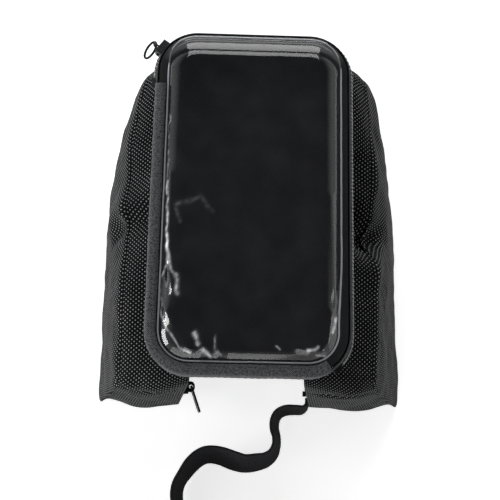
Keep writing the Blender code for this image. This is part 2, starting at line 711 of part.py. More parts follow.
def rear_strap():
    foot = (inner_x(FLOOR), PANNIER_REAR, FLOOR, 0.0)
    line = curve_through([[a + b for a, b in zip(point, foot)] for point in STRAP_ROUTE], 3)
    bm = bmesh.new()
    rows = []
    for k, (x, y, z, lean) in enumerate(line):
        ahead, behind = line[min(k + 1, len(line) - 1)], line[max(k - 1, 0)]
        tangent = Vector((ahead[0] - behind[0], ahead[1] - behind[1], ahead[2] - behind[2])).normalized()
        right = tangent.cross(Vector((0, 0, 1))).normalized()
        up = right.cross(tangent).normalized()
        across = up * math.cos(math.radians(lean)) + right * math.sin(math.radians(lean))
        rows.append([bm.verts.new((Vector((x, y, z)) + across * STRAP_WIDTH * w) * MM) for w in (0, 0.5, 1)])
    for a, b in zip(rows, rows[1:]):
        for k in range(2):
            bm.faces.new((a[k], b[k], b[k + 1], a[k + 1]))
    strap = add_object("rear_strap", mesh_from(bm, "rear_strap"), WEBBING)
    shell = strap.modifiers.new("webbing", "SOLIDIFY")
    shell.thickness = STRAP_THICKNESS * MM
    shell.offset = 0.0
    shell.use_even_offset = True


def strap_patch():
    """The strap's fastening patch on the left pannier's inner panel."""
    frame = inner_frame(-1, -64.0, -28.0)
    patch = rectangle(-16, 16, -11, 11, 2.0, 3)
    add_object("strap_patch", flat_mesh("strap_patch", [patch], SEAM_GAP, SEAM_GAP + 1.4), WEBBING, frame)


saddle()
pocket_tray()
pocket_pad()
lid_frame()
window_film()
edge_binding()
pocket_zip()
pocket_slider()
pannier("left", -1, PANNIER_REAR + 3.4, 20.0)
pannier("right", 1, BASE_FRONT - 8.0, 174.0)
rear_strap()
strap_patch()
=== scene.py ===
"""Stem phone bag on a pale floor, seen from above and a little behind."""
import math
import random

import bmesh
import bpy
from mathutils import Matrix, Vector, noise


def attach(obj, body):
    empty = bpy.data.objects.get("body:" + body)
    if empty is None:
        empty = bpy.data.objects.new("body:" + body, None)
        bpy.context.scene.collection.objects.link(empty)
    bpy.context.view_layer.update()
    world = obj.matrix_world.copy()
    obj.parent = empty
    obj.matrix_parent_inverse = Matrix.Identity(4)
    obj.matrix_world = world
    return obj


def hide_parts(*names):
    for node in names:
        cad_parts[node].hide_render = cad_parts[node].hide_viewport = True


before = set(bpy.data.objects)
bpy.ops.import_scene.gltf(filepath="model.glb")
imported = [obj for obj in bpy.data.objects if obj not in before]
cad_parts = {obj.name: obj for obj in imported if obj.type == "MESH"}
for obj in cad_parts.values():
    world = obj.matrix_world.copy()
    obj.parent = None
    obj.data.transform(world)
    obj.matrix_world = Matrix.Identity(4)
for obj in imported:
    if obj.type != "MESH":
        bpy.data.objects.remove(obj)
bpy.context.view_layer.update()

# The camera stands over the bag's rear end and looks down and forward, with a slight turn.
# The studio is a pale sweep under soft boxes, so cloth and film show their relief.
MM = 0.001
FLOOR_LEVEL = -75.4
FLOOR_HALF = 4.0
camera_data = bpy.data.cameras.new("camera")
camera_data.sensor_width = 36.0
camera_data.lens = 64.8
camera_data.clip_start = 0.01
camera = bpy.data.objects.new("camera", camera_data)
bpy.context.scene.collection.objects.link(camera)
camera_right = Vector((0.999465, 0.019812, 0.026034))
camera_up = Vector((-0.025117, 0.974584, 0.222610))
camera_back = Vector((-0.020962, -0.223145, 0.974560))
camera.matrix_world = (Matrix.Translation(Vector((-8.9, -119.6, 428.5)) * MM)
                       @ Matrix((camera_right, camera_up, camera_back)).transposed().to_4x4())
bpy.context.scene.camera = camera
bpy.context.scene.view_settings.view_transform = "Standard"


def calc(tree, operation, a, b=None, c=None, clamp=False):
    """One step of arithmetic in a material: a, b and c are sockets or numbers."""
    step = tree.nodes.new("ShaderNodeMath")
    step.operation = operation
    step.use_clamp = clamp
    for place, value in enumerate((a, b, c)):
        if value is None:
            continue
        if isinstance(value, (int, float)):
            step.inputs[place].default_value = value
        else:
            tree.links.new(value, step.inputs[place])
    return step.outputs[0]


def times(tree, a, b, clamp=False):
    """a times b."""
    return calc(tree, "MULTIPLY", a, b, clamp=clamp)


def scaled(tree, a, factor, more, clamp=False):
    """a times a factor, and something more."""
    return calc(tree, "MULTIPLY_ADD", a, factor, more, clamp)


def new_material(name):
    """A material with its node tree and its Principled shader."""
    material = bpy.data.materials.new(name)
    material.use_nodes = True
    return material, material.node_tree, material.node_tree.nodes["Principled BSDF"]


def studio_floor():
    """A wide pale floor that keeps the bag's shadow and turns to plain white further out."""
    mesh = bpy.data.meshes.new("floor")
    corners = ((-1, -1), (1, -1), (1, 1), (-1, 1))
    corners = [(x * FLOOR_HALF, y * FLOOR_HALF, FLOOR_LEVEL * MM) for x, y in corners]
    mesh.from_pydata(corners, [], [(0, 1, 2, 3)])
    floor = bpy.data.objects.new("floor", mesh)
    bpy.context.scene.collection.objects.link(floor)
    material, tree, shader = new_material("studio_floor")
    shader.inputs["Base Color"].default_value = (0.86, 0.86, 0.86, 1.0)
    shader.inputs["Roughness"].default_value = 0.9
    rays = tree.nodes.new("ShaderNodeLightPath")
    shader.inputs["Emission Color"].default_value = (1.0, 1.0, 1.0, 1.0)
    passed_on = calc(tree, "MAXIMUM", rays.outputs["Is Glossy Ray"], rays.outputs["Is Transmission Ray"])
    seen = calc(tree, "MAXIMUM", rays.outputs["Is Camera Ray"], passed_on)
    place = tree.nodes.new("ShaderNodeTexCoord")
    reach = tree.nodes.new("ShaderNodeVectorMath")
    reach.operation = "LENGTH"
    tree.links.new(place.outputs["Object"], reach.inputs[0])
    far = scaled(tree, reach.outputs["Value"], 0.35, 0.67, clamp=True)
    far = calc(tree, "MAXIMUM", far, 0.74)
    tree.links.new(times(tree, seen, far), shader.inputs["Emission Strength"])
    mesh.materials.append(material)


def studio_world():
    """Low walls are white and the ceiling is dim, so light comes from the sides as on a product
    table, and a little more of it from the left."""
    world = bpy.data.worlds.new("studio")
    world.use_nodes = True
    tree = world.node_tree
    bpy.context.scene.world = world
    background = tree.nodes["Background"]
    rays = tree.nodes.new("ShaderNodeLightPath")
    direction = tree.nodes.new("ShaderNodeTexCoord")
    split = tree.nodes.new("ShaderNodeSeparateXYZ")
    tree.links.new(direction.outputs["Generated"], split.inputs[0])
    low = calc(tree, "SUBTRACT", 1.0, times(tree, split.outputs["Z"], 2.6), clamp=True)
    low = times(tree, low, scaled(tree, split.outputs["X"], -0.25, 0.78))
    room = calc(tree, "ADD", low, 0.04)
    seen = calc(tree, "MAXIMUM", rays.outputs["Is Camera Ray"], rays.outputs["Is Transmission Ray"])
    wall = calc(tree, "SUBTRACT", 1.45, times(tree, split.outputs["Z"], 2.1), clamp=True)
    wall = calc(tree, "MAXIMUM", 0.10, wall)
    mirrored = times(tree, times(tree, rays.outputs["Is Glossy Ray"], wall), 0.85)
    level = calc(tree, "MAXIMUM", room, calc(tree, "MAXIMUM", seen, mirrored))
    background.inputs["Color"].default_value = (1.0, 1.0, 1.0, 1.0)
    tree.links.new(level, background.inputs["Strength"])


def soft_box(name, place, width, height, watts):
    """A soft box that looks at the bag."""
    lamp = bpy.data.lights.new(name, "AREA")
    lamp.shape = "RECTANGLE"
    lamp.size = width
    lamp.size_y = height
    lamp.energy = watts
    holder = bpy.data.objects.new(name, lamp)
    bpy.context.scene.collection.objects.link(holder)
    look = (Vector() - Vector(place)).to_track_quat("-Z", "Y")
    holder.matrix_world = Matrix.Translation(place) @ look.to_matrix().to_4x4()


studio_floor()
studio_world()
soft_box("front_box", (0.0, 1.25, 0.62), 0.95, 1.1, 13.0)
soft_box("left_box", (-1.4, -0.35, 0.27), 0.9, 0.45, 14.0)
soft_box("right_box", (1.4, -0.25, 0.32), 0.9, 0.4, 2.5)
soft_box("rear_box", (-0.5, -1.3, 0.42), 1.3, 0.6, 4.5)

# The saddle panel lies on the frame tube: foam between two layers of woven polyester, with a
# line of stitching round it and its edge pressed thin.
SADDLE_HALF_WIDTH = 38.0
SADDLE_HALF_LENGTH = 77.0
SADDLE_EDGE_LIFT = 0.9
SADDLE_THICKNESS = 2.5
PAD_HALF_WIDTH = 26.4
PAD_HALF_LENGTH = 74.0
SADDLE_POINTS = 150
SADDLE_STITCH_INSET = 3.2
STITCH_LENGTH = 2.2
STITCH_GAP = 0.9
WARP_YARN = 1.05
WEFT_YARN = 1.29
BAR_SIDES = 6


def piece_from(name, bm, *materials):
    """A named piece of the bag from its mesh."""
    mesh = bpy.data.meshes.new(name)
    bm.to_mesh(mesh)
    bm.free()
    for material in materials:
        mesh.materials.append(material)
    mesh.shade_smooth()
    piece = bpy.data.objects.new(name, mesh)
    bpy.context.scene.collection.objects.link(piece)
    return piece


def cloth_lengths(bm, verts, faces):
    """UV in millimetres from the cloth's own lengths along and across its rows of vertices."""
    layer = bm.loops.layers.uv.verify()
    count = len(verts[0])
    middle = verts[len(verts) // 2]
    along = [0.0]
    for k in range(count):
        along.append(along[-1] + (middle[(k + 1) % count].co - middle[k].co).length / MM)
    across = [0.0]
    for a, b in zip(verts, verts[1:]):
        across.append(across[-1] + sum((p.co - q.co).length for p, q in zip(a, b)) / count / MM)
    per_row = len(faces) // (len(verts) - 1)
    for number, face in enumerate(faces):
        r, k = divmod(number, per_row)
        places = ((along[k], across[r]), (along[k + 1], across[r]),
                  (along[k + 1], across[r + 1]), (along[k], across[r + 1]))
        for corner, place in zip(face.loops, places):
            corner[layer].uv = place


def woven_rows(bm, rows, closed=True, slot=0):
    """Quads over rows of points in millimetres, laid out as cloth."""
    verts = [[bm.verts.new(Vector(p) * MM) for p in row] for row in rows]
    count = len(rows[0])
    faces = []
    for r in range(len(rows) - 1):
        for k in range(count if closed else count - 1):
            n = (k + 1) % count
            face = bm.faces.new((verts[r][k], verts[r][n], verts[r + 1][n], verts[r + 1][k]))
            face.material_index = slot
            face.smooth = True
            faces.append(face)
    cloth_lengths(bm, verts, faces)
    return verts


def flat_uv(bm, faces, first, second):
    """UV in millimetres straight along two axes, for panels cut from flat cloth."""
    layer = bm.loops.layers.uv.verify()
    for face in faces:
        for corner in face.loops:
            at = corner.vert.co / MM
            corner[layer].uv = (at.dot(first), at.dot(second))


def cloth_plane(tree, warp, weft):
    """Sockets u and v of the cloth, counted in yarns."""
    place = tree.nodes.new("ShaderNodeUVMap")
    split = tree.nodes.new("ShaderNodeSeparateXYZ")
    tree.links.new(place.outputs[0], split.inputs[0])
    return (calc(tree, "DIVIDE", split.outputs["X"], warp), calc(tree, "DIVIDE", split.outputs["Y"], weft))


def speckle(tree, scale, detail=2.0):
    """Noise that stays with the piece."""
    noise_node = tree.nodes.new("ShaderNodeTexNoise")
    noise_node.inputs["Scale"].default_value = scale
    noise_node.inputs["Detail"].default_value = detail
    place = tree.nodes.new("ShaderNodeTexCoord")
    tree.links.new(place.outputs["Object"], noise_node.inputs["Vector"])
    return noise_node.outputs[0]


def relief(tree, shader, height, depth, strength):
    """Bump of a depth in millimetres."""
    bump = tree.nodes.new("ShaderNodeBump")
    bump.inputs["Strength"].default_value = strength
    bump.inputs["Distance"].default_value = depth * MM
    tree.links.new(height, bump.inputs["Height"])
    tree.links.new(bump.outputs[0], shader.inputs["Normal"])


def blended(tree, amount, first, second):
    """A colour between two colours; each is a socket or (r, g, b)."""
    mix = tree.nodes.new("ShaderNodeMix")
    mix.data_type = "RGBA"
    tree.links.new(amount, mix.inputs["Factor"])
    for socket, value in ((mix.inputs[6], first), (mix.inputs[7], second)):
        if isinstance(value, tuple):
            socket.default_value = (*value, 1.0)
        else:
            tree.links.new(value, socket)
    return mix.outputs[2]


def coloured(tree, shader, amount, first, second):
    """Base colour between two colours."""
    tree.links.new(blended(tree, amount, first, second), shader.inputs["Base Color"])


def ballistic_cloth():
    """Coarse woven polyester: fat yarns in plain weave, with a highlight painted into the base colour on the
    crown of each.
    """
    material, tree, shader = new_material("ballistic_weave")
    u, v = cloth_plane(tree, WARP_YARN, WEFT_YARN)
    first = calc(tree, "SINE", times(tree, u, math.pi))
    second = calc(tree, "SINE", times(tree, v, math.pi))
    wave = times(tree, first, second)
    first, second = calc(tree, "ABSOLUTE", first), calc(tree, "ABSOLUTE", second)
    long_crown = times(tree, calc(tree, "POWER", first, 3.0), calc(tree, "POWER", second, 4.8))
    cross_crown = times(tree, calc(tree, "POWER", first, 1.6), calc(tree, "POWER", second, 0.8))
    warp_up = calc(tree, "GREATER_THAN", wave, 0.0)
    weft_up = calc(tree, "SUBTRACT", 1.0, warp_up)
    warp_crown = times(tree, long_crown, warp_up)
    weft_crown = times(tree, cross_crown, weft_up)
    # Painted highlight: the base colour turns from near black to pale grey on each warp crown, uneven by noise,
    # standing in for the yarns' shine.
    painted_glint = calc(tree, "ADD", warp_crown, times(tree, weft_crown, 0.02))
    wear_and_glint_spread = scaled(tree, speckle(tree, 90.0), 0.8, 0.55)
    lit = times(tree, painted_glint, wear_and_glint_spread, clamp=True)
    coloured(tree, shader, lit, (0.0010, 0.0011, 0.0012), (0.58, 0.59, 0.61))
    tree.links.new(scaled(tree, warp_up, -0.14, 0.66), shader.inputs["Roughness"])
    shader.inputs["Specular IOR Level"].default_value = 0.03
    relief(tree, shader, calc(tree, "ADD", warp_crown, times(tree, weft_crown, 0.6)), 0.32, 0.6)
    return material


WEAVE = ballistic_cloth()


def sewing_thread():
    """Twisted dark thread."""
    material, tree, shader = new_material("sewing_thread")
    twist = tree.nodes.new("ShaderNodeTexWave")
    twist.inputs["Scale"].default_value = 700.0
    place = tree.nodes.new("ShaderNodeTexCoord")
    tree.links.new(place.outputs["Object"], twist.inputs["Vector"])
    coloured(tree, shader, twist.outputs["Fac"], (0.035, 0.036, 0.038), (0.11, 0.112, 0.118))
    shader.inputs["Roughness"].default_value = 0.5
    return material


THREAD = sewing_thread()


def running_lengths(points):
    """Distance along a line from its first point to each of its points."""
    runs = [0.0]
    for a, b in zip(points, points[1:]):
        runs.append(runs[-1] + (b - a).length)
    return runs


def bar_ring(bm, middle, side, side_reach, rise, rise_reach):
    """One ring of a bar's corners round its middle line."""
    ring = []
    for corner in range(BAR_SIDES):
        turn = math.tau * corner / BAR_SIDES
        ring.append(bm.verts.new((middle + side * side_reach * math.cos(turn)
                                  + rise * rise_reach * math.sin(turn)) * MM))
    return ring


def close_bar(bm, rings):
    """Sides and both ends of a bar through its rings."""
    for a, b in zip(rings, rings[1:]):
        for k in range(BAR_SIDES):
            n = (k + 1) % BAR_SIDES
            bm.faces.new((a[k], a[n], b[n], b[k]))
    bm.faces.new(rings[0][::-1])
    bm.faces.new(rings[-1])


def face_outward(bm):
    bmesh.ops.recalc_face_normals(bm, faces=bm.faces)


def stitch_row(name, points, normals, thickness):
    """Sewn stitches along a line: a small crowned bar for each, sunk at both ends."""
    spots = [Vector(p) for p in points]
    runs = running_lengths(spots)
    bm = bmesh.new()

    def at(distance):
        k = 0
        while k < len(runs) - 2 and runs[k + 1] < distance:
            k += 1
        t = (distance - runs[k]) / max(runs[k + 1] - runs[k], 1e-6)
        return spots[k].lerp(spots[k + 1], t), Vector(normals[k]).lerp(Vector(normals[k + 1]), t).normalized()

    start = STITCH_GAP
    while start + STITCH_LENGTH < runs[-1]:
        rings = []
        for step in range(5):
            t = step / 4
            mark = start + STITCH_LENGTH * t
            spot, normal = at(mark)
            ahead, _ = at(min(mark + 0.3, runs[-1]))
            forward = ahead - spot
            if forward.length < 1e-6:
                forward = spots[-1] - spots[-2]
            side = normal.cross(forward).normalized()
            crown = math.sin(math.pi * t)
            wide = thickness / 2 * (0.55 + 0.45 * crown)
            middle = spot + normal * (crown * 0.32 - 0.12)
            rings.append(bar_ring(bm, middle, side, wide, normal, wide))
        close_bar(bm, rings)
        start += STITCH_LENGTH + STITCH_GAP
    face_outward(bm)
    return piece_from(name, bm, THREAD)


def round_cornered(half_width, half_length, corner, steps=9, spacing=6.0):
    """A rectangle with rounded corners as evenly spread points."""
    points = []
    cx, cy = half_width - corner, half_length - corner
    for x, y, start in ((cx, -cy, -90), (cx, cy, 0), (-cx, cy, 90), (-cx, -cy, 180)):
        for step in range(steps):
            angle = math.radians(start + 90 * step / (steps - 1))
            points.append((x + corner * math.cos(angle), y + corner * math.sin(angle)))
    spread = []
    for k, here in enumerate(points):
        after = points[(k + 1) % len(points)]
        count = max(1, round(math.dist(here, after) / spacing))
        for step in range(count):
            t = step / count
            spread.append((here[0] + (after[0] - here[0]) * t, here[1] + (after[1] - here[1]) * t))
    return spread


def ring_points(outline, count):
    """Evenly spaced points on a closed outline, from its rightmost point on."""
    total = len(outline)
    start = max(range(total), key=lambda k: outline[k][0])
    loop = [Vector(outline[(start + k) % total]) for k in range(total)] + [Vector(outline[start])]
    runs = running_lengths(loop)
    points = []
    k = 0
    for step in range(count):
        goal = runs[-1] * step / count
        while runs[k + 1] < goal:
            k += 1
        points.append(loop[k].lerp(loop[k + 1], (goal - runs[k]) / max(runs[k + 1] - runs[k], 1e-9)))
    return points


def saddle_cloth():
    """A padded middle that lies on the tube, and edges pressed thin over the pouches."""
    pad = round_cornered(PAD_HALF_WIDTH, PAD_HALF_LENGTH, 6.0)
    pad = ring_points([Vector(p) for p in pad], SADDLE_POINTS)
    edge = round_cornered(SADDLE_HALF_WIDTH, SADDLE_HALF_LENGTH, 12.0)
    edge = ring_points([Vector(p) for p in edge], SADDLE_POINTS)
    lift, top = SADDLE_EDGE_LIFT, SADDLE_THICKNESS
    section = ((pad, 60, 0.05), (pad, 6, 0.05), (pad, SADDLE_STITCH_INSET, 0.35), (pad, 1.6, 0.05),
               (pad, 0.5, 0.1), (pad, 0.0, 0.4), (pad, 0.0, lift), (edge, 4.0, lift), (edge, 0.6, lift + 0.1),
               (edge, 0.0, lift + 0.5), (edge, 0.0, top - 0.5), (edge, 0.6, top - 0.1), (edge, 6, top),
               (edge, 60, top))
    rows = []
    for ring, inset, z in section:
        row = []
        for spot in ring:
            keep = max(0.04, 1 - inset / spot.length)
            row.append((spot.x * keep, spot.y * keep, z))
        rows.append(row)
    bm = bmesh.new()
    verts = woven_rows(bm, rows)
    bm.faces.new(verts[0])
    bm.faces.new(verts[-1][::-1])
    flat_uv(bm, bm.faces, Vector((1, 0, 0)), Vector((0, 1, 0)))
    face_outward(bm)
    saddle = piece_from("saddle_cloth", bm, WEAVE)
    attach(saddle, "bag")
    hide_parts("saddle_panel")
    line = round_cornered(PAD_HALF_WIDTH - SADDLE_STITCH_INSET, PAD_HALF_LENGTH - SADDLE_STITCH_INSET, 4.0)
    line.append(line[0])
    line = [(x, y, 0.30) for x, y in line]
    stitches = stitch_row("saddle_stitches", line, [(0, 0, -1)] * len(line), 0.36)
    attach(stitches, "bag")


saddle_cloth()

# Each pouch is a sewn shell of coarse woven polyester: a gusset strip that runs right round and
# an outer side panel, turned so that the seam is inside. It is soft, lightly filled and creased.
POUCH_DEPTH = 75.0
POUCH_REAR = -87.0
POUCH_FRONT = 79.0
POUCH_RIDGE = 62.0
RIDGE_DROP = 13.0
FRONT_LIFT = 48.0
BASE_FRONT = 11.0
INNER_EDGE = 27.0
INNER_SPLAY = 0.125
OUTER_SPLAY = {-1: 0.24, 1: 0.33}
FRONT_TAPER = {-1: 9.0, 1: 3.5}
EAR_FLARE = {-1: 1.0, 1: 1.5}
EAR_REACH = 3.0
GUSSET_COLUMNS = 30
SIDE_RINGS = 24
SMOOTHINGS = 9


def smooth_step(t):
    """Eased step from 0 to 1."""
    t = min(max(t, 0.0), 1.0)
    return t * t * (3 - 2 * t)


def pouch_outline(corners, arc_steps=12, edge_steps=34):
    """Points (y, z) of a polygon with rounded corners (y, z, radius)."""
    points = []
    total = len(corners)
    for k in range(total):
        here = Vector(corners[k][:2])
        before = Vector(corners[k - 1][:2])
        following = corners[(k + 1) % total]
        nxt = Vector(following[:2])
        past = Vector(corners[(k + 2) % total][:2])
        a, b = (before - here).normalized(), (nxt - here).normalized()
        half_angle = a.angle(b) / 2
        radius = corners[k][2]
        reach = radius / math.tan(half_angle)
        centre = here + (a + b).normalized() * (radius / math.sin(half_angle))
        first, last = here + a * reach - centre, here + b * reach - centre
        sweep = first.angle_signed(last)
        for step in range(arc_steps + 1):
            points.append(centre + Matrix.Rotation(-sweep * step / arc_steps, 2) @ first)
        start = points[-1]
        c, d = (here - nxt).normalized(), (past - nxt).normalized()
        goal = nxt + c * (following[2] / math.tan(c.angle(d) / 2))
        for step in range(1, edge_steps):
            points.append(start.lerp(goal, step / edge_steps))
    return points


def inner_edge_outline():
    """The seam between the gusset and the inner panel, as (y, z)."""
    base = -POUCH_DEPTH
    top = SADDLE_EDGE_LIFT - 0.3
    return pouch_outline([(POUCH_REAR + 1, top, 6), (POUCH_FRONT, top, 8),
                          (POUCH_FRONT + 3, base + FRONT_LIFT + 4, 8), (BASE_FRONT, base, 18),
                          (POUCH_REAR - 7, base, 9)])


def outer_edge_outline(ear=0.0):
    """The seam between the gusset and the outer panel; the panel itself has an ear at its rear foot."""
    base = -POUCH_DEPTH + (0.3 if ear else 0.0)
    return pouch_outline([(POUCH_REAR, -RIDGE_DROP, 8), (POUCH_FRONT - 3, -RIDGE_DROP, 8),
                          (POUCH_FRONT, base + FRONT_LIFT, 7), (BASE_FRONT, base, 18),
                          (POUCH_REAR - 4 - ear, base, 3 if ear else 10)])


def side_reach(side, y, z):
    """How far the outer side stands from the middle plane."""
    lean = (-RIDGE_DROP - z) * OUTER_SPLAY[side]
    forward = max(0.0, (y - BASE_FRONT) / (POUCH_FRONT - BASE_FRONT))
    rear = smooth_step((POUCH_REAR + 40 - y) / 40) * smooth_step((30 - POUCH_DEPTH - z + 15) / 40)
    return POUCH_RIDGE + lean - FRONT_TAPER[side] * forward ** 2.2 + EAR_FLARE[side] * rear


def crease_depth(at, folds):
    """Sum of the folds at a point: each runs between two points with its depth and width."""
    total = 0.0
    for first, last, depth, width in folds:
        a, b = Vector(first), Vector(last)
        run = b - a
        t = min(max((at - a).dot(run) / run.length_squared, 0.0), 1.0)
        away = (at - a - run * t).length / width
        total += depth * math.exp(-away * away)
    return total


# Folds of each pouch, as seen from above: from, to, height (mm, minus is a dent) and width.
LEFT_FOLDS = (
    ((-48, -4, -6), (-72, -9, -24), -4.5, 5.5),
    ((-48, 10, -6), (-64, -1, -14), 2.6, 5.0),
    ((-64, 4, -18), (-76, -4, -50), 1.4, 8.0),
    ((-34, -90, -18), (-68, -87, -20), -2.2, 2.6),
    ((-58, -40, -12), (-57, -84, -13), 1.0, 5.0),
    ((-45, -30, -5), (-46, -74, -6), -1.6, 7.0),
    ((-48, 60, -6), (-52, 20, -7), -1.0, 5.0),
)
RIGHT_FOLDS = (
    ((76, -8, -26), (69, -10, -17), -4.0, 4.0),
    ((69, -10, -17), (60, -12, -12), -6.0, 6.5),
    ((60, -12, -12), (51, 0, -8), -4.5, 7.0),
    ((51, 0, -8), (51, 24, -8), -4.0, 7.0),
    ((76, -2, -16), (79, -3, -30), 3.0, 5.0),
    ((74, -15, -19), (63, -32, -12), 2.2, 5.0),
    ((62, -34, -12), (62, -80, -12), 1.2, 5.0),
    ((52, 64, -9), (67, 20, -12), 1.8, 6.0),
    ((30, -91, -19), (66, -91, -20), -2.2, 2.6),
    ((50, -30, -7), (49, -72, -7), -1.6, 6.0),
)


def pouch_shell(prefix, side, folds, seed):
    """Gusset and outer panel of one pouch (side is -1 for the left one), with its folds."""
    inner = inner_edge_outline()
    outer = outer_edge_outline()
    ear = outer_edge_outline(EAR_REACH)
    count = len(inner)
    centre = sum(ear, Vector((0, 0))) / count
    rows = []
    for column in range(GUSSET_COLUMNS + 1):
        w = column / GUSSET_COLUMNS
        row = []
        for k in range(count):
            a, b = inner[k], outer[k]
            ahead = inner[(k + 1) % count].lerp(outer[(k + 1) % count], w)
            behind = inner[k - 1].lerp(outer[k - 1], w)
            tangent = (ahead - behind).normalized()
            normal = Vector((-tangent.y, tangent.x))
            swell = (3.0 * max(0.0, -normal.x) ** 2 + 5.0 * max(0.0, normal.x) ** 2
                     + 2.5 * max(0.0, normal.y) ** 2)
            place = a.lerp(b, w) + normal * swell * math.sin(math.pi * w)
            start = INNER_EDGE - a.y * INNER_SPLAY
            x = start + (side_reach(side, b.x, b.y) - start) * w
            row.append((side * x, place.x, place.y))
        rows.append(row)
    gusset_rows = len(rows)
    for beyond in (0.1, 1.5):
        rows.append([(side * (side_reach(side, p.x, p.y) + beyond), p.x, p.y) for p in ear])
    for step in range(SIDE_RINGS):
        scale = 0.985 - 0.975 * (step / (SIDE_RINGS - 1)) ** 1.15
        row = []
        for p in ear:
            at = centre + (p - centre) * scale
            swell = 4.0 * (1 - scale ** 2)
            row.append((side * (side_reach(side, at.x, at.y) + 1.6 + swell), at.x, at.y))
        rows.append(row)
    bm = bmesh.new()
    verts = woven_rows(bm, rows)
    bm.faces.new(verts[-1])
    loose = [v for row in verts[2:] for v in row]
    for _ in range(SMOOTHINGS):
        bmesh.ops.smooth_vert(bm, verts=loose, factor=0.5, use_axis_x=True, use_axis_y=True, use_axis_z=True)
    # The cloth is measured before any face turns round, because its corners are read in order.
    faces = list(bm.faces)
    seam = (gusset_rows - 1) * count
    cloth_lengths(bm, verts[:gusset_rows], faces[:seam])
    flat_uv(bm, faces[seam:], Vector((0, 1, 0)), Vector((side * 0.6, 0, -0.85)))
    face_outward(bm)
    bm.faces.ensure_lookup_table()
    outward = bm.faces[0].calc_center_median() - Vector((side * 55, -10, -40)) * MM
    if bm.faces[0].normal.dot(outward) < 0:
        bmesh.ops.reverse_faces(bm, faces=bm.faces)
    bm.normal_update()
    moves = []
    for number, row in enumerate(verts):
        for v in row:
            at = v.co / MM
            soft = smooth_step(number / 8)
            lift = crease_depth(at, folds)
            ripple = noise.noise(at / 17 + Vector((seed, 0, 0))) * 1.3 + noise.noise(at / 7.5) * 0.45
            floor_keep = smooth_step((at.z + POUCH_DEPTH) / 6)
            moves.append((v, v.normal * (lift + ripple) * soft * floor_keep * MM))
    for v, move in moves:
        v.co += move
        v.co.z = max(v.co.z, -POUCH_DEPTH * MM)
    shell = piece_from(prefix + "_pouch_cloth", bm, WEAVE)
    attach(shell, "bag")
    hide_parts(prefix + "_gusset", prefix + "_outer_panel")


pouch_shell("left", -1, LEFT_FOLDS, 3.1)
pouch_shell("right", 1, RIGHT_FOLDS, 7.7)

# The inner panel closes each pouch on the side of the frame tube. It is the same cloth, nearly
# flat, with a long slot low down for the zip.
ZIP_LEVEL = -64.0
ZIP_REAR = -88.2
ZIP_FRONT = 14.0
PANEL_POINTS = 180
PANEL_SHEET = 0.9


def panel_frame(side, y, z):
    """Zip frame on the inner panel: X along the zip, Y up the panel, Z out of the pouch."""
    up = Vector((-side * INNER_SPLAY, 0, 1)).normalized()
    along = Vector((0, -side, 0))
    out = along.cross(up)
    place = Vector((side * (INNER_EDGE - z * INNER_SPLAY), y, z)) * MM
    return Matrix.Translation(place) @ Matrix((along, up, out)).transposed().to_4x4()


def thicken(piece, label, thickness):
    """Thickness in millimetres for a piece that is modelled as one sheet."""
    sheet = piece.modifiers.new(label, "SOLIDIFY")
    sheet.thickness = thickness * MM
    sheet.offset = 0.0


def inner_cloth(prefix, side):
    """Rows of cloth from the panel's rim to the zip's slot, slightly puffed above the zip."""
    stretch = math.hypot(1, INNER_SPLAY)
    outline = [Vector((-side * p.x, p.y * stretch)) for p in inner_edge_outline()]
    level = ZIP_LEVEL * stretch
    middle = -side * (ZIP_REAR + ZIP_FRONT) / 2
    half = (ZIP_FRONT - ZIP_REAR) / 2 - 6
    slot = [(middle + x, level + y) for x, y in round_cornered(half, 2.6, 2.0, 5, 3.0)]

    def turning(points):
        """The same outline, always counter-clockwise."""
        area = sum(a[0] * b[1] - a[1] * b[0] for a, b in zip(points, list(points[1:]) + [points[0]]))
        return points if area > 0 else list(points)[::-1]

    rim = ring_points(turning(outline), PANEL_POINTS)
    hole = ring_points(turning(slot), PANEL_POINTS)
    place = panel_frame(side, 0.0, 0.0)
    bm = bmesh.new()
    rows = []
    for t in (0.0, 0.03, 0.07, 0.14, 0.24, 0.36, 0.5, 0.64, 0.78, 0.9, 1.0):
        row = []
        for a, b in zip(rim, hole):
            at = a.lerp(b, t)
            crown = math.sin(math.pi * t)
            puff = -1.1 * crown * smooth_step((at.y - level) / 20)
            puff += noise.noise(Vector((at.x, at.y, side * 9)) / 14) * 0.35 * crown - 0.45
            row.append((at.x, at.y, puff))
        rows.append(row)
    woven_rows(bm, rows)
    flat_uv(bm, bm.faces, Vector((1, 0, 0)), Vector((0, 1, 0)))
    bm.transform(place)
    panel = piece_from(prefix + "_inner_cloth", bm, WEAVE)
    thicken(panel, "cloth", PANEL_SHEET)
    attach(panel, "bag")
    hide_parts(prefix + "_inner_panel")


inner_cloth("left", -1)
inner_cloth("right", 1)

# The pouch zips are sewn over the slots: woven tape, a run of coil teeth, a stop at each end,
# and a slider whose slotted tab hangs from its crown.
TAPE_HALF = 6.0
TAPE_SHEET = 0.6
TAPE_STEPS = 100
TOOTH_PITCH = 1.25
SEAM_STEPS = 20


def tape_cloth():
    """Zip tape: fine ribs along its length, with a herringbone slant."""
    material, tree, shader = new_material("zip_tape_cloth")
    u, v = cloth_plane(tree, 0.8, 0.5)
    fold = calc(tree, "ABSOLUTE", calc(tree, "SUBTRACT", calc(tree, "FRACT", v), 0.5))
    slant = calc(tree, "ADD", u, fold)
    rib = scaled(tree, calc(tree, "SINE", times(tree, slant, math.tau)), 0.5, 0.5)
    coloured(tree, shader, rib, (0.010, 0.012, 0.012), (0.040, 0.044, 0.044))
    shader.inputs["Roughness"].default_value = 0.8
    relief(tree, shader, rib, 0.12, 0.8)
    return material


def tooth_plastic():
    """Satin plastic, mottled from dark to pale grey by noise."""
    material, tree, shader = new_material("tooth_plastic")
    pale_mottle = speckle(tree, 450.0)
    coloured(tree, shader, pale_mottle, (0.050, 0.051, 0.053), (0.480, 0.490, 0.505))
    shader.inputs["Roughness"].default_value = 0.34
    return material


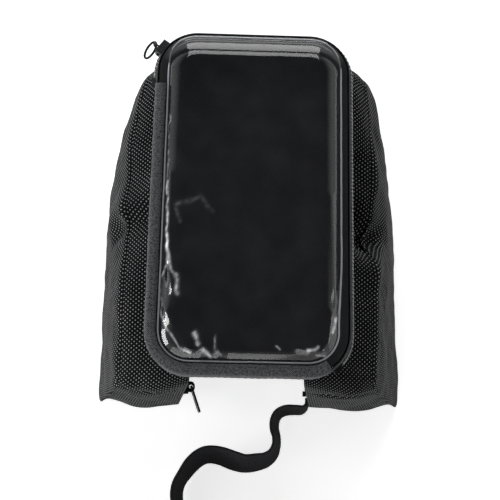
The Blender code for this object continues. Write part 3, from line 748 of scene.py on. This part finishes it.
def dark_metal():
    """Blackened die-cast metal, rubbed paler on its edges."""
    material, tree, shader = new_material("blackened_metal")
    edges = tree.nodes.new("ShaderNodeNewGeometry")
    wear_and_glint_spread = scaled(tree, edges.outputs["Pointiness"], 3.0, -1.62, clamp=True)
    cast = speckle(tree, 1200.0)
    base = blended(tree, cast, (0.012, 0.012, 0.013), (0.034, 0.034, 0.037))
    coloured(tree, shader, wear_and_glint_spread, base, (0.11, 0.11, 0.12))
    shader.inputs["Metallic"].default_value = 0.9
    shader.inputs["Specular IOR Level"].default_value = 0.3
    tree.links.new(scaled(tree, cast, 0.2, 0.24), shader.inputs["Roughness"])
    relief(tree, shader, cast, 0.05, 0.5)
    return material


TAPE = tape_cloth()
TOOTH = tooth_plastic()
METAL = dark_metal()


def teeth_mesh(bm, places):
    """Coil teeth: one bent bar at each place (point, along, across, out), in millimetres."""
    bend = ((-1.45, 0.12, 0.30), (-1.05, 0.62, 0.42), (0.0, 0.92, 0.46), (1.05, 0.62, 0.42), (1.45, 0.12, 0.30))
    for number, (spot, along, across, out) in enumerate(places):
        shift = 0.32 if number % 2 else -0.32
        rings = []
        for reach, rise, wide in bend:
            middle = spot + across * (reach + shift) + out * rise
            tip = across * (-rise * 0.4 * (1 if reach > 0 else -1)) + out
            rings.append(bar_ring(bm, middle, along, wide, tip.normalized(), wide * 0.8))
        close_bar(bm, rings)
    face_outward(bm)


def pouch_zip(prefix, side):
    """Tape, teeth and two lines of stitching; the metal parts keep their solid shapes."""
    place = panel_frame(side, 0.0, ZIP_LEVEL)
    ends = sorted((-side * ZIP_REAR, -side * ZIP_FRONT))
    run = ends[1] - ends[0]
    rows = []
    for w in (-1.0, -0.96, -0.8, -0.55, -0.5, -0.3, 0.0, 0.3, 0.5, 0.55, 0.8, 0.96, 1.0):
        row = []
        lift = 0.7 - (0.12 if abs(w) in (0.5, 0.55) else 0.0) - (0.2 if abs(w) == 1.0 else 0.0)
        for step in range(TAPE_STEPS + 1):
            x = ends[0] + run * step / TAPE_STEPS
            row.append((x, w * TAPE_HALF, lift + 0.07 * noise.noise(Vector((x / 5, w * 2, side)))))
        rows.append(row)
    bm = bmesh.new()
    woven_rows(bm, rows, closed=False)
    bm.transform(place)
    face_outward(bm)
    tape = piece_from(prefix + "_zip_cloth", bm, TAPE)
    thicken(tape, "cloth", TAPE_SHEET)
    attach(tape, "bag")
    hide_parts(prefix + "_zip_tape")
    turn = place.to_3x3()
    origin = place.translation / MM
    axes = [turn @ Vector(axis) for axis in ((1, 0, 0), (0, 1, 0), (0, 0, 1))]
    spots = []
    x = ends[0] + 3.0
    while x < ends[1] - 3.0:
        spots.append((origin + turn @ Vector((x, 0, 1.1)), *axes))
        x += TOOTH_PITCH
    bm = bmesh.new()
    teeth_mesh(bm, spots)
    teeth = piece_from(prefix + "_zip_teeth", bm, TOOTH)
    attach(teeth, "bag")
    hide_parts(prefix + "_zip_coil")
    for edge, label in ((-1, "low"), (1, "high")):
        line = [origin + turn @ Vector((ends[0] + 1.5 + (run - 3) * k / SEAM_STEPS, edge * 4.9, 1.05))
                for k in range(SEAM_STEPS + 1)]
        stitches = stitch_row(f"{prefix}_zip_stitches_{label}", line, [axes[2]] * len(line), 0.34)
        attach(stitches, "bag")
    for node in ("_zip_slider", "_zip_pull", "_zip_stop_front", "_zip_stop_rear"):
        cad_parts[prefix + node].material_slots[0].material = METAL


pouch_zip("left", -1)
pouch_zip("right", 1)

# The pocket is a shallow tray moulded from foam-backed cloth, with a rounded foot. Inside it
# has a dark brushed lining and a loose padded base under the window.
POCKET_HALF_WIDTH = 46.4
POCKET_HALF_LENGTH = 83.0
POCKET_CORNER = 19.0
TRAY_BASE = 2.8
TRAY_RIM = 16.0
LINING_BASE = 5.2
CORNER_RUN = math.pi / 2 * POCKET_CORNER
SIDE_RUN = 2 * (POCKET_HALF_LENGTH - POCKET_CORNER)
END_RUN = 2 * (POCKET_HALF_WIDTH - POCKET_CORNER)
AROUND = 2 * (SIDE_RUN + END_RUN) + 4 * CORNER_RUN


def wall_line(distance, offset=0.0):
    """Point (x, y) on the pocket's wall, clockwise from the rear of its left side."""
    left = distance % AROUND
    px, py = -POCKET_HALF_WIDTH, POCKET_CORNER - POCKET_HALF_LENGTH
    heading = math.pi / 2
    for straight in (SIDE_RUN, END_RUN, SIDE_RUN, END_RUN):
        if left <= straight:
            return (px + math.cos(heading) * left - math.sin(heading) * offset,
                    py + math.sin(heading) * left + math.cos(heading) * offset)
        px += math.cos(heading) * straight
        py += math.sin(heading) * straight
        left -= straight
        cx = px + math.sin(heading) * POCKET_CORNER
        cy = py - math.cos(heading) * POCKET_CORNER
        normal = heading + math.pi / 2 - min(left, CORNER_RUN) / POCKET_CORNER
        if left <= CORNER_RUN:
            reach = POCKET_CORNER + offset
            return (cx + math.cos(normal) * reach, cy + math.sin(normal) * reach)
        left -= CORNER_RUN
        px = cx + math.cos(normal) * POCKET_CORNER
        py = cy + math.sin(normal) * POCKET_CORNER
        heading -= math.pi / 2
    return wall_line(0.0, offset)


def wall_ring(offset, spacing=1.6):
    """The wall line moved by offset, closed, at an even spacing."""
    count = round(AROUND / spacing)
    return [wall_line(AROUND * k / count, offset) for k in range(count)]


def lining_cloth(name, shade, nap):
    """Brushed lining: short soft nap, a little uneven, with a bluish cast."""
    material, tree, shader = new_material(name)
    fine = speckle(tree, 1400.0, 4.0)
    broad = scaled(tree, speckle(tree, 45.0), 1.6, 0.1)
    amount = times(tree, fine, broad, clamp=True)
    coloured(tree, shader, amount, shade, nap)
    shader.inputs["Roughness"].default_value = 0.9
    shader.inputs["Sheen Weight"].default_value = 0.35
    shader.inputs["Sheen Roughness"].default_value = 0.5
    relief(tree, shader, fine, 0.25, 0.7)
    return material


LINING = lining_cloth("brushed_lining", (0.008, 0.008, 0.012), (0.040, 0.041, 0.054))


def pocket_shell():
    """Tray with its lining, and the loose padded base: rings (offset from the wall, height)."""
    outer_levels = ((-60, TRAY_BASE), (-6, TRAY_BASE), (-3.0, TRAY_BASE), (-1.4, 3.0), (-0.5, 3.7), (-0.1, 4.8),
                    (0.0, 6.5), (0.0, 9.0), (0.0, 12.0), (0.0, 15.0), (-0.2, 15.8), (-0.7, TRAY_RIM))
    lining_levels = ((-1.7, TRAY_RIM), (-2.2, 15.8), (-2.4, 15.0), (-2.4, 11.0), (-2.5, 7.0), (-3.2, 5.6),
                     (-4.2, LINING_BASE), (-9, LINING_BASE), (-60, LINING_BASE))

    def rows_at(steps):
        """Rings at the levels; the last inward one is a narrow ring in the middle."""
        rows = []
        for offset, z in steps:
            if offset > -20:
                rows.append([(x, y, z) for x, y in wall_ring(offset)])
            else:
                rows.append([(x * 0.1, y * 0.5, z) for x, y in wall_ring(-12)])
        return rows

    bm = bmesh.new()
    outside = woven_rows(bm, rows_at(outer_levels))
    inside = woven_rows(bm, rows_at(lining_levels), slot=1)
    count = len(outside[0])
    for k in range(count):
        n = (k + 1) % count
        bm.faces.new((outside[-1][k], outside[-1][n], inside[0][n], inside[0][k])).material_index = 1
    bm.faces.new(outside[0])
    bm.faces.new(inside[-1]).material_index = 1
    face_outward(bm)
    tray = piece_from("pocket_shell", bm, WEAVE, LINING)
    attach(tray, "bag")
    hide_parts("pocket_tray")
    base = []
    for offset, z in ((-3.6, 5.55), (-3.5, 6.1), (-3.9, 6.7), (-5.0, 6.95)):
        base.append([(x, y, z) for x, y in wall_ring(offset)])
    for keep in (0.86, 0.74, 0.62, 0.5, 0.38, 0.26, 0.14, 0.04):
        row = []
        for x, y in wall_ring(-6.0):
            at = Vector((x * keep, y * (1 - (1 - keep) * 0.62), 0))
            row.append((at.x, at.y, 6.9 + 0.16 * noise.noise(at / 11) + 0.1 * noise.noise(at / 4)))
        base.append(row)
    bm = bmesh.new()
    verts = woven_rows(bm, base)
    bm.faces.new(verts[0][::-1])
    bm.faces.new(verts[-1])
    face_outward(bm)
    pad = piece_from("pocket_lining", bm, LINING)
    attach(pad, "bag")
    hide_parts("pocket_pad")


pocket_shell()

# The lid is a narrow frame of zip-tape cloth with the clear window welded on. The film is
# formed: a flat flange, a raised edge, and a nearly flat middle that has gone a little wavy.
# In front it rises straight from the weld.
LID_BASE = 16.3
LID_TOP = 17.9
FILM_BASE = 18.2
FILM_RISE = 5.4
FILM_FLANGE = 4.9
FILM_SLOPE = 9.0
FRONT_INSET = 1.9
FRONT_SLOPE = 12.0
SLOPE_RINGS = 18
MIDDLE_RINGS = 33


def clear_film(name, tint, body, rough):
    """Clear soft plastic: glossy and nearly colourless, with highlights painted into its colour and opacity as
    milky white streaks, and a faint random haze.
    """
    material, tree, shader = new_material(name)
    attribute = tree.nodes.new("ShaderNodeAttribute")
    attribute.attribute_name = "painted_highlight"
    painted_highlight = attribute.outputs["Fac"]
    smear = speckle(tree, 70.0, 5.0)
    haze = scaled(tree, smear, 0.05, -0.018, clamp=True)
    # Painted highlights: along the streaks the colour turns white, and through the Alpha link below the film
    # turns opaque.
    amount = calc(tree, "ADD", painted_highlight, haze, clamp=True)
    coloured(tree, shader, amount, tint, (0.95, 0.96, 0.98))
    shader.inputs["Specular IOR Level"].default_value = 1.0
    tree.links.new(scaled(tree, painted_highlight, 1 - body, body, clamp=True), shader.inputs["Alpha"])
    tree.links.new(scaled(tree, smear, 0.05, rough), shader.inputs["Roughness"])
    return material


FILM = clear_film("clear_film", (0.010, 0.011, 0.014), 0.6, 0.05)
# The weld bead is painted pale grey and nearly opaque: a painted highlight along the weld.
WELD = clear_film("weld_painted_highlight", (0.55, 0.57, 0.60), 0.9, 0.22)

# Wrinkles pressed into the film: from, to, height and width in millimetres.
FILM_FOLDS = (
    ((-39.0, 10), (-38.6, -32), 0.5, 1.6),
    ((-38.6, -32), (-34.5, -47), 0.8, 1.8),
    ((-39.4, -34), (-40.0, -50), -0.5, 1.5),
    ((-38, -56), (-26, -73), 0.7, 2.2),
    ((-22, -68), (-19, -76), 0.8, 1.8),
    ((-14, -68), (-12, -76), 0.6, 1.5),
    ((22, -71), (33, -73), 0.7, 1.8),
    ((38, -55), (36, -69), 0.7, 1.8),
    ((38, 0), (40, -44), 0.4, 2.0),
)
# Highlights painted into the film as milky white streaks where it catches the light: from, to, strength and
# half width.
FILM_PAINTED_HIGHLIGHTS = (
    ((-40.2, 40), (-39.9, 6), 0.25, 0.35),
    ((-39.9, 6), (-38.9, -20), 0.55, 0.45),
    ((-38.9, -20), (-38.0, -33.5), 0.95, 0.7),
    ((-38.0, -33.5), (-34.0, -39), 0.5, 0.6),
    ((-34.0, -39), (-32.6, -48), 0.9, 0.9),
    ((-38.8, -35), (-41.0, -40), 0.45, 0.5),
    ((-41.0, -40), (-40.2, -58), 0.35, 0.4),
    ((-40.2, -58), (-32, -72), 0.45, 0.45),
    ((-31, -72.5), (-26, -75), 0.7, 0.6),
    ((-24.5, -66), (-22.5, -70.5), 0.85, 0.9),
    ((-20, -73.5), (-17.5, -76), 0.8, 0.8),
    ((-15.5, -67), (-14.8, -74), 0.35, 0.5),
    ((12.5, -71.5), (14.5, -73), 0.5, 0.5),
    ((27, -72.5), (31, -71.5), 0.8, 0.7),
    ((31, -74.5), (36, -75), 0.6, 0.5),
    ((38, -64), (40.5, -57), 0.85, 0.7),
    ((40.5, -57), (41.8, -40), 0.3, 0.35),
    ((-35, -6), (-24, -2), 0.10, 1.0),
    ((-24, -2), (-18, -9), 0.08, 0.9),
    ((-35, -8), (-33, -14), 0.10, 0.8),
)


def painted_highlight_strength(x, y):
    """How strongly the painted highlights whiten the film at a point; the streaks wander and break up a little.
    """
    spot = Vector((x, y))
    spot.x += 1.1 * noise.noise(Vector((x, y, 0)) / 5)
    spot.y += 1.1 * noise.noise(Vector((x, y, 40)) / 5)
    broken = 0.75 + 0.9 * noise.noise(Vector((x, y, 9)) / 2.2)
    total = 0.0
    for first, last, strength, half in FILM_PAINTED_HIGHLIGHTS:
        a, run = Vector(first), Vector(last) - Vector(first)
        t = min(max((spot - a).dot(run) / run.length_squared, 0.0), 1.0)
        away = (spot - a - run * t).length / half
        if away < 3:
            total = max(total, 1.3 * strength * broken * math.exp(-away * away))
    return total


def film_slope(t):
    """Height of the film's raised edge, from its flange (0) to its middle (1)."""
    return FILM_RISE * math.sin(math.pi / 2 * t) ** 0.8


def lid_cloth():
    """The narrow frame that the film is welded to."""
    profile = ((-0.9, LID_BASE), (-0.3, LID_BASE + 0.3), (-0.3, LID_TOP - 0.3), (-0.9, LID_TOP),
               (-3.9, LID_TOP), (-4.5, LID_TOP - 0.3), (-4.5, LID_BASE + 0.3), (-3.9, LID_BASE))
    rows = [[(x, y, z) for x, y in wall_ring(offset)] for offset, z in profile]
    bm = bmesh.new()
    verts = woven_rows(bm, rows)
    for k in range(len(verts[0])):
        n = (k + 1) % len(verts[0])
        bm.faces.new((verts[-1][k], verts[-1][n], verts[0][n], verts[0][k]))
    face_outward(bm)
    lid = piece_from("lid_cloth", bm, TAPE)
    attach(lid, "bag")
    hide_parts("lid_frame")


def window():
    """The film: rings from the flange over the raised edge to the middle, then its folds."""
    top = FILM_BASE + FILM_RISE
    levels = [(-0.5, FILM_BASE), (-2.4, FILM_BASE), (-4.2, FILM_BASE), (-FILM_FLANGE, FILM_BASE + 0.1)]
    for step in range(1, SLOPE_RINGS + 1):
        t = step / SLOPE_RINGS
        levels.append((-FILM_FLANGE - FILM_SLOPE * t, FILM_BASE + film_slope(t)))
    rows = []
    for offset, z in levels:
        rows.append([Vector((x, y, z)) for x, y in wall_ring(offset, 0.7)])
    ring = wall_ring(levels[-1][0], 0.7)
    for step in range(1, MIDDLE_RINGS + 1):
        keep = 1 - 0.96 * step / MIDDLE_RINGS
        rows.append([Vector((x * keep, y * (1 - (1 - keep) * 0.55), top)) for x, y in ring])
    for number, row in enumerate(rows):
        loose = smooth_step((number - 3) / 7)
        inset = -levels[min(number, len(levels) - 1)][0]
        early = film_slope(min(max(inset - FRONT_INSET, 0.0) / FRONT_SLOPE, 1.0))
        for at in row:
            at.z = max(at.z, FILM_BASE + early * smooth_step((at.y - 60) / 14))
            wave = 0.10 * noise.noise(at / 24) + 0.05 * noise.noise(at / 9 + Vector((4, 0, 0)))
            at.z += loose * (wave + crease_depth(at.xy, FILM_FOLDS))
            at.z = min(at.z, top + 0.5)
    bm = bmesh.new()
    verts = woven_rows(bm, rows)
    bm.faces.new(verts[-1])
    face_outward(bm)
    # Painted highlights: each vertex keeps how strongly the streaks whiten the film's colour and opacity.
    painted_highlight = bm.verts.layers.float.new("painted_highlight")
    for v in bm.verts:
        v[painted_highlight] = painted_highlight_strength(v.co.x / MM, v.co.y / MM)
    film = piece_from("window_sheet", bm, FILM)
    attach(film, "bag")
    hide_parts("window_film")


def weld_offset(mark):
    """Where the weld bead runs inside the wall: close to it in front, deeper at the rear."""
    x, y = wall_line(mark)
    front = smooth_step((y - 66) / 16)
    side = -FILM_FLANGE if x < 0 else -3.6 - 1.4 * smooth_step((-y - 30) / 35)
    return side + (-1.5 - side) * front


def window_weld():
    """A round bead where the film is welded to the lid, carried right round."""
    bm = bmesh.new()
    count = round(AROUND / 1.2)
    rows = [[] for _ in range(9)]
    for step in range(count):
        mark = AROUND * step / count
        middle = weld_offset(mark) + 0.12 * noise.noise(Vector((mark / 13, 0, 5)))
        rise = FILM_BASE + 0.35 + 0.12 * noise.noise(Vector((mark / 8, 2, 5)))
        if middle < -4.4:
            rise += 0.5
        for corner in range(9):
            turn = math.tau * corner / 8
            x, y = wall_line(mark, middle + 0.42 * math.cos(turn))
            rows[corner].append((x, y, rise + 0.36 * math.sin(turn)))
    woven_rows(bm, rows)
    bmesh.ops.remove_doubles(bm, verts=bm.verts, dist=0.001 * MM)
    face_outward(bm)
    bead = piece_from("window_weld", bm, WELD)
    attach(bead, "bag")


lid_cloth()
window()
window_weld()

# The binding is a folded charcoal twill tape that wraps the lid and the tray's wall along the
# left side and the rear, sewn through with dark thread.
ZIP_START = SIDE_RUN - 7.0
ZIP_END = SIDE_RUN + CORNER_RUN + END_RUN + CORNER_RUN + SIDE_RUN + 0.6 * CORNER_RUN


def crowns(tree, yarns, turn):
    """Rounded crowns across the yarns."""
    return calc(tree, "ABSOLUTE", calc(tree, "SINE", times(tree, yarns, turn)))


def twill_cloth():
    """Diagonal ribs of charcoal yarn with pale fibres."""
    material, tree, shader = new_material("charcoal_twill")
    u, v = cloth_plane(tree, 0.95, 0.95)
    diagonal = calc(tree, "FRACT", calc(tree, "ADD", u, v))
    rib = calc(tree, "SINE", times(tree, diagonal, math.pi))
    yarn = crowns(tree, u, math.pi * 2)
    height = times(tree, rib, scaled(tree, yarn, 0.4, 0.6))
    fibres = scaled(tree, speckle(tree, 1250.0), 4.2, -1.25)
    amount = times(tree, height, fibres, clamp=True)
    coloured(tree, shader, amount, (0.004, 0.004, 0.005), (0.170, 0.177, 0.189))
    shader.inputs["Roughness"].default_value = 0.85
    shader.inputs["Sheen Weight"].default_value = 0.15
    relief(tree, shader, height, 0.22, 0.9)
    return material


TWILL = twill_cloth()


def rim_sweep(first, last, profile, spacing=1.0, wobble=None):
    """A closed profile (offset, height) carried along the pocket's wall, capped at both ends."""
    bm = bmesh.new()
    count = max(2, round((last - first) / spacing))
    rows = []
    for offset, height in profile + profile[:1]:
        row = []
        for step in range(count + 1):
            mark = first + (last - first) * step / count
            more = wobble(mark, offset, height) if wobble else 0.0
            x, y = wall_line(mark, offset + more)
            row.append((x, y, height + more))
        rows.append(row)
    woven_rows(bm, rows, closed=False)
    bmesh.ops.remove_doubles(bm, verts=bm.verts, dist=0.002 * MM)
    bmesh.ops.holes_fill(bm, edges=[e for e in bm.edges if e.is_boundary], sides=0)
    face_outward(bm)
    return bm


def binding():
    """Folded tape over the rim, puckered by its stitches."""
    profile = [(-3.9, 19.15), (-3.7, 19.9), (-2.4, 20.2), (-0.4, 20.2), (0.9, 19.9), (1.45, 19.0), (1.5, 17.0),
               (1.5, 12.0), (1.5, 8.0), (1.3, 7.1), (0.8, 7.05), (0.35, 7.6), (0.35, 12.0), (0.35, 18.0),
               (-0.2, 18.85), (-2.0, 19.0)]

    def pucker(mark, offset, height):
        uneven = noise.noise(Vector((mark / 9, offset / 3, height / 6)))
        return 0.09 * math.sin(math.tau * mark / 3.1) + 0.16 * uneven

    bm = rim_sweep(ZIP_END + 1.0, AROUND + ZIP_START - 1.0, profile, 0.9, pucker)
    tape = piece_from("binding_tape", bm, TWILL)
    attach(tape, "bag")
    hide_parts("edge_binding")
    marks = [ZIP_END + 2.0 + k * 1.5 for k in range(int((AROUND + ZIP_START - ZIP_END - 4) / 1.5))]
    line = [(*wall_line(m, -2.9), 20.08) for m in marks]
    stitches = stitch_row("binding_stitches", line, [(0, 0, 1)] * len(line), 0.34)
    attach(stitches, "bag")


binding()

# The pocket zip opens the front and the right side: a tape that stands against the wall, coil
# teeth facing out, and a small slider with an oval ring at the front left corner.
ZIP_HEIGHT = 12.83
TOOTH_OFFSET = 1.65
TOOTH_INSET = 4.6
FINE_PITCH = 0.95


def pocket_zip():
    """Tape and teeth round the wall; the metal parts keep their solid shapes."""
    profile = [(0.75, 18.1), (1.1, 16.4), (1.5, 14.6), (1.5, 12.8), (1.5, 11.2), (1.1, 9.0), (0.75, 5.35),
               (0.35, 5.35), (0.45, 9.0), (0.7, 11.2), (0.7, 14.6), (0.45, 16.4), (0.35, 18.1)]
    bm = rim_sweep(ZIP_START, ZIP_END, profile, 1.5)
    tape = piece_from("pocket_zip_cloth", bm, TAPE)
    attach(tape, "bag")
    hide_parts("pocket_zip_tape")
    spots = []
    up = Vector((0, 0, 1))
    mark = ZIP_START + TOOTH_INSET
    while mark < ZIP_END - TOOTH_INSET:
        x, y = wall_line(mark, TOOTH_OFFSET)
        ax, ay = wall_line(mark + 0.1, TOOTH_OFFSET)
        along = Vector((ax - x, ay - y, 0)).normalized()
        spots.append((Vector((x, y, ZIP_HEIGHT)), along, up, along.cross(up) * -1))
        mark += FINE_PITCH
    bm = bmesh.new()
    teeth_mesh(bm, spots)
    teeth = piece_from("pocket_zip_teeth", bm, TOOTH)
    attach(teeth, "bag")
    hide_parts("pocket_zip_coil")
    for node in ("pocket_zip_slider", "pocket_zip_pull", "pocket_zip_stop_left", "pocket_zip_stop_right"):
        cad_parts[node].material_slots[0].material = METAL


pocket_zip()

# The rear strap is 20 mm polypropylene webbing, cut hot and a little furry on one edge. It is
# caught in the right pouch's seam, stands on its edge and wanders off to the rear left.
STRAP_WIDTH = 20.0
STRAP_SHEET = 1.3
STRAP_FIBRES = 1500
FIBRE_HALF = 0.045
FIBRE_FLOOR = -74.9
# The strap's lower edge from the pouch's rear foot on: x, y and z from FOOT, and its lean in degrees.
FOOT = (36.375, -87.0, -75.0)
STRAP_ROUTE = (
    (-0.95, -1.8, 0.5, 7.1), (-0.95, -4.4, 0.5, 7.1), (-1.7, -7.2, 0.5, 8),
    (-4.6, -9.4, 0.5, 9), (-9.4, -9.6, 0.5, 10), (-13.8, -10.4, 0.5, 12), (-16.6, -12.9, 0.5, 14),
    (-17.2, -17.2, 0.5, 14), (-16.2, -22.0, 0.5, 13), (-16.1, -27.4, 0.5, 14), (-17.9, -33.2, 0.5, 18),
    (-22.2, -37.6, 0.5, 22), (-28.0, -39.9, 0.5, 25), (-35.5, -40.9, 0.5, 26), (-42.6, -39.5, 0.5, 27),
    (-49.0, -37.2, 0.5, 26), (-54.8, -36.4, 0.5, 24), (-59.6, -39.0, 0.5, 22), (-64.0, -43.6, 0.5, 18),
    (-67.6, -49.0, 0.5, 15), (-68.4, -55.2, 0.5, 13), (-66.4, -62.0, 0.5, 11), (-62.2, -68.4, 0.5, 10),
    (-57.2, -74.2, 0.5, 10))


def webbing_cloth():
    """Ribbed webbing with a soft nap."""
    material, tree, shader = new_material("soft_webbing")
    u, v = cloth_plane(tree, 0.9, 1.6)
    rib = crowns(tree, v, math.pi)
    pick = crowns(tree, u, math.pi)
    height = times(tree, calc(tree, "POWER", rib, 0.5), scaled(tree, pick, 0.45, 0.55))
    nap = times(tree, speckle(tree, 1500.0), 1.5)
    amount = times(tree, height, nap, clamp=True)
    coloured(tree, shader, amount, (0.003, 0.003, 0.0035), (0.052, 0.053, 0.057))
    shader.inputs["Roughness"].default_value = 0.9
    shader.inputs["IOR"].default_value = 1.3
    shader.inputs["Specular IOR Level"].default_value = 0.1
    relief(tree, shader, height, 0.2, 0.7)
    return material


WEBBING = webbing_cloth()


def route_points(points, steps):
    """Smooth points through a route."""
    line = []
    for k in range(len(points) - 1):
        p0, p1 = points[max(k - 1, 0)], points[k]
        p2, p3 = points[k + 1], points[min(k + 2, len(points) - 1)]
        for step in range(steps):
            t = step / steps
            line.append([0.5 * (2 * b + (c - a) * t + (2 * a - 5 * b + 4 * c - d) * t * t
                                + (3 * b - a - 3 * c + d) * t ** 3)
                         for a, b, c, d in zip(p0, p1, p2, p3)])
    line.append(list(points[-1]))
    return line


def rear_strap():
    """The webbing on its edge along its route, and loose fibres along that edge."""
    line = route_points([[a + b for a, b in zip(p, (*FOOT, 0.0))] for p in STRAP_ROUTE], 8)
    stands = []
    for k, (x, y, z, lean) in enumerate(line):
        ahead, behind = line[min(k + 1, len(line) - 1)], line[max(k - 1, 0)]
        tangent = (Vector(ahead[:3]) - Vector(behind[:3])).normalized()
        right = tangent.cross(Vector((0, 0, 1))).normalized()
        up = right.cross(tangent).normalized()
        lean = math.radians(lean)
        across = up * math.cos(lean) + right * math.sin(lean)
        stands.append((Vector((x, y, z)), across, tangent, tangent.cross(across).normalized()))
    rows = []
    for w in (0.0, 0.03, 0.12, 0.3, 0.5, 0.7, 0.88, 0.97, 1.0):
        row = []
        for spot, across, _, face in stands:
            cup = 0.35 * math.sin(math.pi * w) + 0.12 * noise.noise(spot / 6 + across * w * 5)
            row.append(spot + across * STRAP_WIDTH * w + face * cup)
        rows.append(row)
    bm = bmesh.new()
    woven_rows(bm, rows, closed=False)
    face_outward(bm)
    strap = piece_from("strap_webbing", bm, WEBBING)
    thicken(strap, "webbing", STRAP_SHEET)
    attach(strap, "bag")
    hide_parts("rear_strap")
    chance = random.Random(11)
    bm = bmesh.new()
    for _ in range(STRAP_FIBRES):
        k = chance.randrange(len(stands) - 1)
        spot, across, tangent, face = stands[k]
        root = spot + tangent * chance.random() * 0.8 + face * chance.uniform(-0.6, 0.6) + across * 0.2
        tip = (root - across * chance.uniform(0.0, 0.3) + face * chance.uniform(-1.3, 1.3)
               + tangent * chance.uniform(-0.8, 0.8))
        tip.z = max(tip.z, FIBRE_FLOOR)
        middle = root.lerp(tip, 0.5) + tangent * chance.uniform(-0.2, 0.2)
        wide = tangent * FIBRE_HALF
        a, b = bm.verts.new((root + wide) * MM), bm.verts.new((root - wide) * MM)
        c, d = bm.verts.new((middle - wide) * MM), bm.verts.new((middle + wide) * MM)
        e = bm.verts.new(tip * MM)
        bm.faces.new((a, b, c, d))
        bm.faces.new((d, c, e))
    fur = piece_from("strap_fur", bm, WEBBING)
    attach(fur, "bag")


rear_strap()

# The strap fastens on a patch of hook-and-loop pile, sewn flat on the left pouch's inner panel.
# Its edge is pressed down all round and its middle stands up in a short nap.
PATCH_PROFILE = ((0.3, 0.35), (0.0, 0.7), (0.5, 1.4), (1.6, 1.25), (2.4, 1.5), (4, 1.62), (7, 1.62),
                 (10.4, 1.62))


def strap_patch():
    """Rings from the patch's rim inwards: inset and height."""
    place = panel_frame(-1, -64.0, -28.0)
    material = lining_cloth("loop_pile", (0.010, 0.010, 0.011), (0.065, 0.066, 0.070))
    rim = round_cornered(16.0, 11.0, 2.0, 5, 2.0)

    def drawn_in(value, inset):
        return math.copysign(max(abs(value) - inset, 0.02 + abs(value) * 0.02), value)

    rows = [[(drawn_in(x, inset), drawn_in(y, inset), z) for x, y in rim] for inset, z in PATCH_PROFILE]
    bm = bmesh.new()
    verts = woven_rows(bm, rows)
    bm.faces.new(verts[0])
    bm.faces.new(verts[-1][::-1])
    face_outward(bm)
    bm.transform(place)
    patch = piece_from("strap_pile", bm, material)
    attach(patch, "bag")
    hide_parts("strap_patch")


strap_patch()
